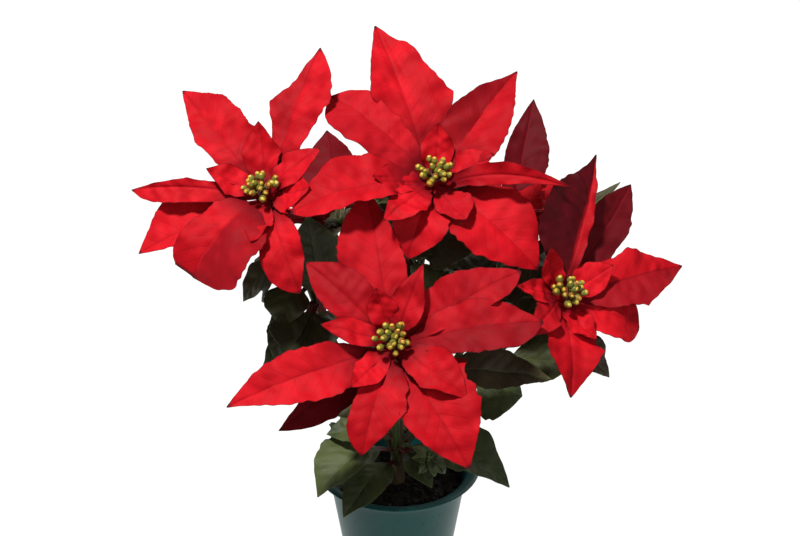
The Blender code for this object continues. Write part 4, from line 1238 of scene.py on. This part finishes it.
def drill_holes(piece):
    """Cuts the drain holes through the pot's floor."""
    drills = Shape()
    for number in range(DRAIN_HOLES):
        angle = 2 * pi * number / DRAIN_HOLES + pi / SOLID_SIDES
        centre = np.array((DRAIN_CIRCLE_RADIUS * cos(angle), DRAIN_CIRCLE_RADIUS * sin(angle), 0))
        line = centre + np.array([[0, 0, -1.0], [0, 0, POT_FLOOR + 1]])
        drills.tube(rings(line, (0, 0, 1.0), DRAIN_RADIUS, 24))
    cutter = drills.object("drain_drill", [])
    cut = piece.modifiers.new("Drain holes", "BOOLEAN")
    cut.operation = "DIFFERENCE"
    cut.object = cutter
    depsgraph = bpy.context.evaluated_depsgraph_get()
    drilled = bpy.data.meshes.new_from_object(piece.evaluated_get(depsgraph))
    piece.modifiers.clear()
    piece.data = drilled
    bpy.data.objects.remove(cutter)


def pot_material(settings):
    """Injection-moulded polypropylene: satin skin with a fine grain, dusty with peat in patches."""
    material, tree, shader = new_material("moulded teal polypropylene")
    where = put(tree, "TexCoord").outputs["Object"]
    grain, clouds, dust = (
        put(tree, "TexNoise", {"Vector": where, "Scale": 1 / (size * MM), "Detail": detail})
        for size, detail in ((PLASTIC_GRAIN, 2.0), (PLASTIC_CLOUDS, 4.0), (DIRT_SPOTS, 5.0))
    )
    darker = [part * 0.72 for part in settings.plastic]
    shade = put(tree, "MapRange", [clouds, 0.3, 0.7])
    skin = put(tree, "Mix", {0: shade, 6: darker, 7: settings.plastic}, data_type="RGBA")
    dirt = put(tree, "MapRange", [dust, 0.60, 0.72, 0.0, 0.5])
    skin = put(tree, "Mix", {0: dirt, 6: skin, 7: settings.dirt}, data_type="RGBA")
    satin = put(tree, "MapRange", [clouds, 0.0, 1.0, 0.30, 0.48])
    bump = put(tree, "Bump", {"Strength": 0.15, "Distance": 0.1 * MM, "Height": grain})
    put(tree, shader, {
        "Base Color": skin, "Roughness": satin, "IOR": 1.49, "Specular IOR Level": 0.3, "Normal": bump,
    })
    return material


# waves of the soil: how many, the shortest and the longest in millimetres, and their height
LUMPS = 9, 9, 26
LUMP_HEIGHT = 1.1
CRUMBLE = 12, 2.5, 6
CRUMBLE_HEIGHT = 0.45
SOIL_RINGS = 46
SOIL_SIDES = 180
# gap between the soil and the pot's wall, and how much lower the soil lies there
SOIL_WALL_GAP = 0.6
SOIL_EDGE_DROP = 3
SOIL_SMOOTH = radians(80)
CRUMB_SIZES = 0.8, 2.4
CRUMB_RINGS = 5
CRUMB_SIDES = 7
# how near the trunk's axis and the soil's edge a crumb may lie
CRUMB_NEAREST = 10
CRUMB_MARGIN = 2
PERLITE_SHARE = 0.02
# sizes of the patterns in the peat and the perlite, in millimetres
PEAT_FIBRES = 2.08
PERLITE_PITS = 1.11


class POINSETTIA_OT_soil(Operator):
    """Crumbly potting soil"""

    bl_idname = "poinsettia.soil"
    bl_label = "Make Soil"

    def execute(self, context):
        settings = context.scene.poinsettia.soil
        pot = context.scene.poinsettia.pot
        base, throat, wall = (value / MM for value in (pot.base_radius, pot.throat_radius, pot.wall))
        draw = random.Random(SEED + 60)
        lumps, crumbs = waves(draw, *LUMPS), waves(draw, *CRUMBLE)
        foot = POT_FLOOR + TOUCH_GAP
        levels = np.array((foot, SOIL_TOP - SOIL_EDGE_DROP))
        widening = (throat - base) * (levels - POT_FLOOR) / (THROAT_HEIGHT - POT_FLOOR)
        foot_radius, edge = base - wall + widening - SOIL_WALL_GAP
        angle = np.arange(SOIL_SIDES) * 2 * pi / SOIL_SIDES
        radii = np.linspace(edge, TRUNK_RADIUS + TOUCH_GAP, SOIL_RINGS)
        x, y = radii[:, None] * np.cos(angle), radii[:, None] * np.sin(angle)
        top = SOIL_TOP - 0.6 + LUMP_HEIGHT * lumps(x, y) + CRUMBLE_HEIGHT * crumbs(x, y)
        top[0] = SOIL_TOP - SOIL_EDGE_DROP
        surface = np.stack([x, y, top], axis=-1)
        circle = np.stack([np.cos(angle), np.sin(angle), 0 * angle], axis=-1)
        low = foot_radius * circle + np.array((0, 0, foot))
        bottom = (TRUNK_RADIUS + TOUCH_GAP) * circle + np.array((0, 0, TRUNK_FOOT - TOUCH_GAP))
        shape = Shape()
        shape.tube(np.concatenate([low[None], surface, bottom[None]]))
        for _ in range(settings.crumbs):
            add_crumb(shape, draw, edge)
        piece = shape.object("potting_soil", soil_materials(settings), smooth=SOIL_SMOOTH)
        settle(piece, "potting_soil", "soil")
        return {"FINISHED"}


def add_crumb(shape, draw, edge):
    """A loose crumb of peat, or now and then a grain of perlite, half sunk in the soil."""
    radius = sqrt(draw.random()) * (edge - CRUMB_MARGIN - CRUMB_NEAREST) + CRUMB_NEAREST
    angle = draw.uniform(0, 2 * pi)
    size = draw.uniform(*CRUMB_SIZES)
    centre = np.array((radius * cos(angle), radius * sin(angle), SOIL_TOP + size * 0.2))
    latitude = np.linspace(0.15, pi - 0.15, CRUMB_RINGS)[:, None]
    longitude = np.arange(CRUMB_SIDES)[None] * 2 * pi / CRUMB_SIDES
    bumps = np.array([[draw.uniform(0.7, 1.2) for _ in range(CRUMB_SIDES)] for _ in range(CRUMB_RINGS)])
    ball = np.stack([
        np.sin(latitude) * np.cos(longitude) * draw.uniform(0.8, 1.4), np.sin(latitude) * np.sin(longitude),
        -np.cos(latitude) * np.ones_like(longitude) * 0.8,
    ], axis=-1)
    slot = 1 if draw.random() < PERLITE_SHARE else 0
    shape.tube(centre + ball * (size * bumps)[..., None], slot)


def soil_materials(settings):
    """Moist peat, near black and dull, with paler fibres; foamed perlite, chalky."""
    peat, tree, shader = new_material("moist peat")
    where = put(tree, "TexCoord").outputs["Object"]
    fibres = put(tree, "TexNoise", {"Vector": where, "Scale": 1 / (PEAT_FIBRES * MM), "Detail": 5.0})
    pick = put(tree, "MapRange", [fibres, 0.5, 0.75])
    skin = put(tree, "Mix", {0: pick, 6: settings.peat, 7: settings.fibre}, data_type="RGBA")
    bump = put(tree, "Bump", {"Strength": 0.9, "Distance": 0.8 * MM, "Height": fibres})
    put(tree, shader, {"Base Color": skin, "Roughness": 0.9, "IOR": 1.4, "Normal": bump})

    perlite, tree, shader = new_material("perlite grain")
    where = put(tree, "TexCoord").outputs["Object"]
    pits = put(tree, "TexNoise", {"Vector": where, "Scale": 1 / (PERLITE_PITS * MM), "Detail": 3.0})
    dirty = [part * 0.5 for part in settings.perlite]
    skin = put(tree, "Mix", {0: pits, 6: dirty, 7: settings.perlite}, data_type="RGBA")
    put(tree, shader, {"Base Color": skin, "Roughness": 0.85, "IOR": 1.5})
    return [peat, perlite]


# the middle of the picture, on the plant
SIGHT_POINT = np.array((2.0, 0.0, 339.5))
SENSOR_WIDTH = 36.0
# place and width of each lamp, in millimetres
KEY_LAMP = (-640, -640, 2276), 240
FILL_LAMP = (900, -1500, 1100), 1200
BACK_LAMP = (700, 1700, 1000), 900
FLOOR_LAMP_ANGLE = radians(60)
FLOOR_REACH = 9000
# size of the pattern in the paper, in millimetres; its fibres are far finer, and are drawn as coarse as
# they need to show
PAPER_FIBRES = 16.7


class POINSETTIA_OT_stage(Operator):
    """Pale floor, soft lamps and the camera"""

    bl_idname = "poinsettia.stage"
    bl_label = "Make Stage"

    def execute(self, context):
        settings = context.scene.poinsettia.stage
        scene = context.scene
        scene.view_settings.view_transform = "Standard"
        floor = make_floor(settings)
        key = make_lamp("key_lamp", *KEY_LAMP, settings.key_power)
        fill = make_lamp("fill_lamp", *FILL_LAMP, settings.fill_power)
        back = make_lamp("back_lamp", *BACK_LAMP, settings.back_power)
        light_floor_apart(floor, settings.floor_light, key, fill, back)
        world = bpy.data.worlds.new("even_light")
        world.use_nodes = True
        tree = world.node_tree
        put(tree, tree.nodes["Background"], {"Color": (1, 1, 1), "Strength": settings.sky})
        scene.world = world

        lens = bpy.data.cameras.new("camera")
        lens.sensor_width = SENSOR_WIDTH
        lens.lens = SENSOR_WIDTH * settings.distance / settings.across
        camera = bpy.data.objects.new("camera", lens)
        camera.location = (SIGHT_POINT + SIGHT_TOWARD * settings.distance / MM) * MM
        camera.rotation_euler = Vector(-SIGHT_TOWARD).to_track_quat("-Z", "Y").to_euler()
        scene.collection.objects.link(camera)
        scene.camera = camera
        return {"FINISHED"}


def make_floor(settings):
    """A wide floor of matt paper: pale, even and without gloss."""
    material, tree, shader = new_material("matt paper floor")
    where = put(tree, "TexCoord").outputs["Object"]
    fibres = put(tree, "TexNoise", {"Vector": where, "Scale": 1 / (PAPER_FIBRES * MM), "Detail": 2.0})
    paler = [min(1.0, part * 1.01) for part in settings.floor]
    skin = put(tree, "Mix", {0: fibres, 6: settings.floor, 7: paler}, data_type="RGBA")
    put(tree, shader, {"Base Color": skin, "Roughness": 0.85, "IOR": 1.45, "Specular IOR Level": 0.1})
    near, far = -FLOOR_REACH, FLOOR_REACH
    shape = Shape()
    shape.add([(near, near, 0), (far, near, 0), (far, far, 0), (near, far, 0)], [range(4)])
    floor = shape.object("floor", [material])
    floor.visible_diffuse = False
    return floor


def light_floor_apart(floor, strength, *lamps):
    """Keeps the plant's lamps off the floor and gives it an even lamp of its own, so that the paper
    stays white under a plant that is lit from one side."""
    plant_only = bpy.data.collections.new("all but the floor")
    plant_only.objects.link(floor)
    plant_only.collection_objects[0].light_linking.link_state = "EXCLUDE"
    for lamp in lamps:
        lamp.light_linking.receiver_collection = plant_only
    floor_only = bpy.data.collections.new("floor alone")
    floor_only.objects.link(floor)
    data = bpy.data.lights.new("floor_lamp", "SUN")
    data.energy = strength
    data.angle = FLOOR_LAMP_ANGLE
    data.use_shadow = False
    lamp = bpy.data.objects.new("floor_lamp", data)
    bpy.context.scene.collection.objects.link(lamp)
    lamp.light_linking.receiver_collection = floor_only


def make_lamp(name, place, width, power):
    """A square soft lamp that looks at the middle of the plant; lengths in millimetres."""
    data = bpy.data.lights.new(name, "AREA")
    data.size = width * MM
    data.energy = power
    lamp = bpy.data.objects.new(name, data)
    lamp.location = np.array(place) * MM
    lamp.rotation_euler = Vector(SIGHT_POINT - np.array(place)).to_track_quat("-Z", "Y").to_euler()
    bpy.context.scene.collection.objects.link(lamp)
    return lamp


OPERATORS = (
    POINSETTIA_OT_pot, POINSETTIA_OT_soil, POINSETTIA_OT_trunk, POINSETTIA_OT_stems, POINSETTIA_OT_bracts,
    POINSETTIA_OT_cyathia, POINSETTIA_OT_stage,
)


class POINSETTIA_PT_panel(Panel):
    """Lists the pieces of the plant and their sizes and colours"""

    bl_label = "Poinsettia"
    bl_idname = "POINSETTIA_PT_panel"
    bl_space_type = "VIEW_3D"
    bl_region_type = "UI"
    bl_category = "Poinsettia"

    def draw(self, context):
        settings = context.scene.poinsettia
        for operator in OPERATORS:
            self.layout.operator(operator.bl_idname)
        for name in settings.bl_rna.properties.keys():
            group = getattr(settings, name, None)
            if not isinstance(group, PropertyGroup):
                continue
            box = self.layout.box()
            box.label(text=name.capitalize())
            for key in group.bl_rna.properties.keys():
                if key not in ("rna_type", "name"):
                    box.prop(group, key)


CLASSES = (
    BractSettings, LeafSettings, StemSettings, CyathiumSettings, PotSettings, SoilSettings, StageSettings,
    PoinsettiaSettings, *OPERATORS, POINSETTIA_PT_panel,
)


def register():
    """Registers the settings, the operators and the panel."""
    for made in CLASSES:
        bpy.utils.register_class(made)
    bpy.types.Scene.poinsettia = PointerProperty(type=PoinsettiaSettings)


def unregister():
    """Takes them out again."""
    del bpy.types.Scene.poinsettia
    for made in reversed(CLASSES):
        bpy.utils.unregister_class(made)


def main():
    """Makes every piece and the stage."""
    register()
    for operator in OPERATORS:
        family, name = operator.bl_idname.split(".")
        getattr(getattr(bpy.ops, family), name)()
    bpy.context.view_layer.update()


if __name__ == "__main__":
    main()
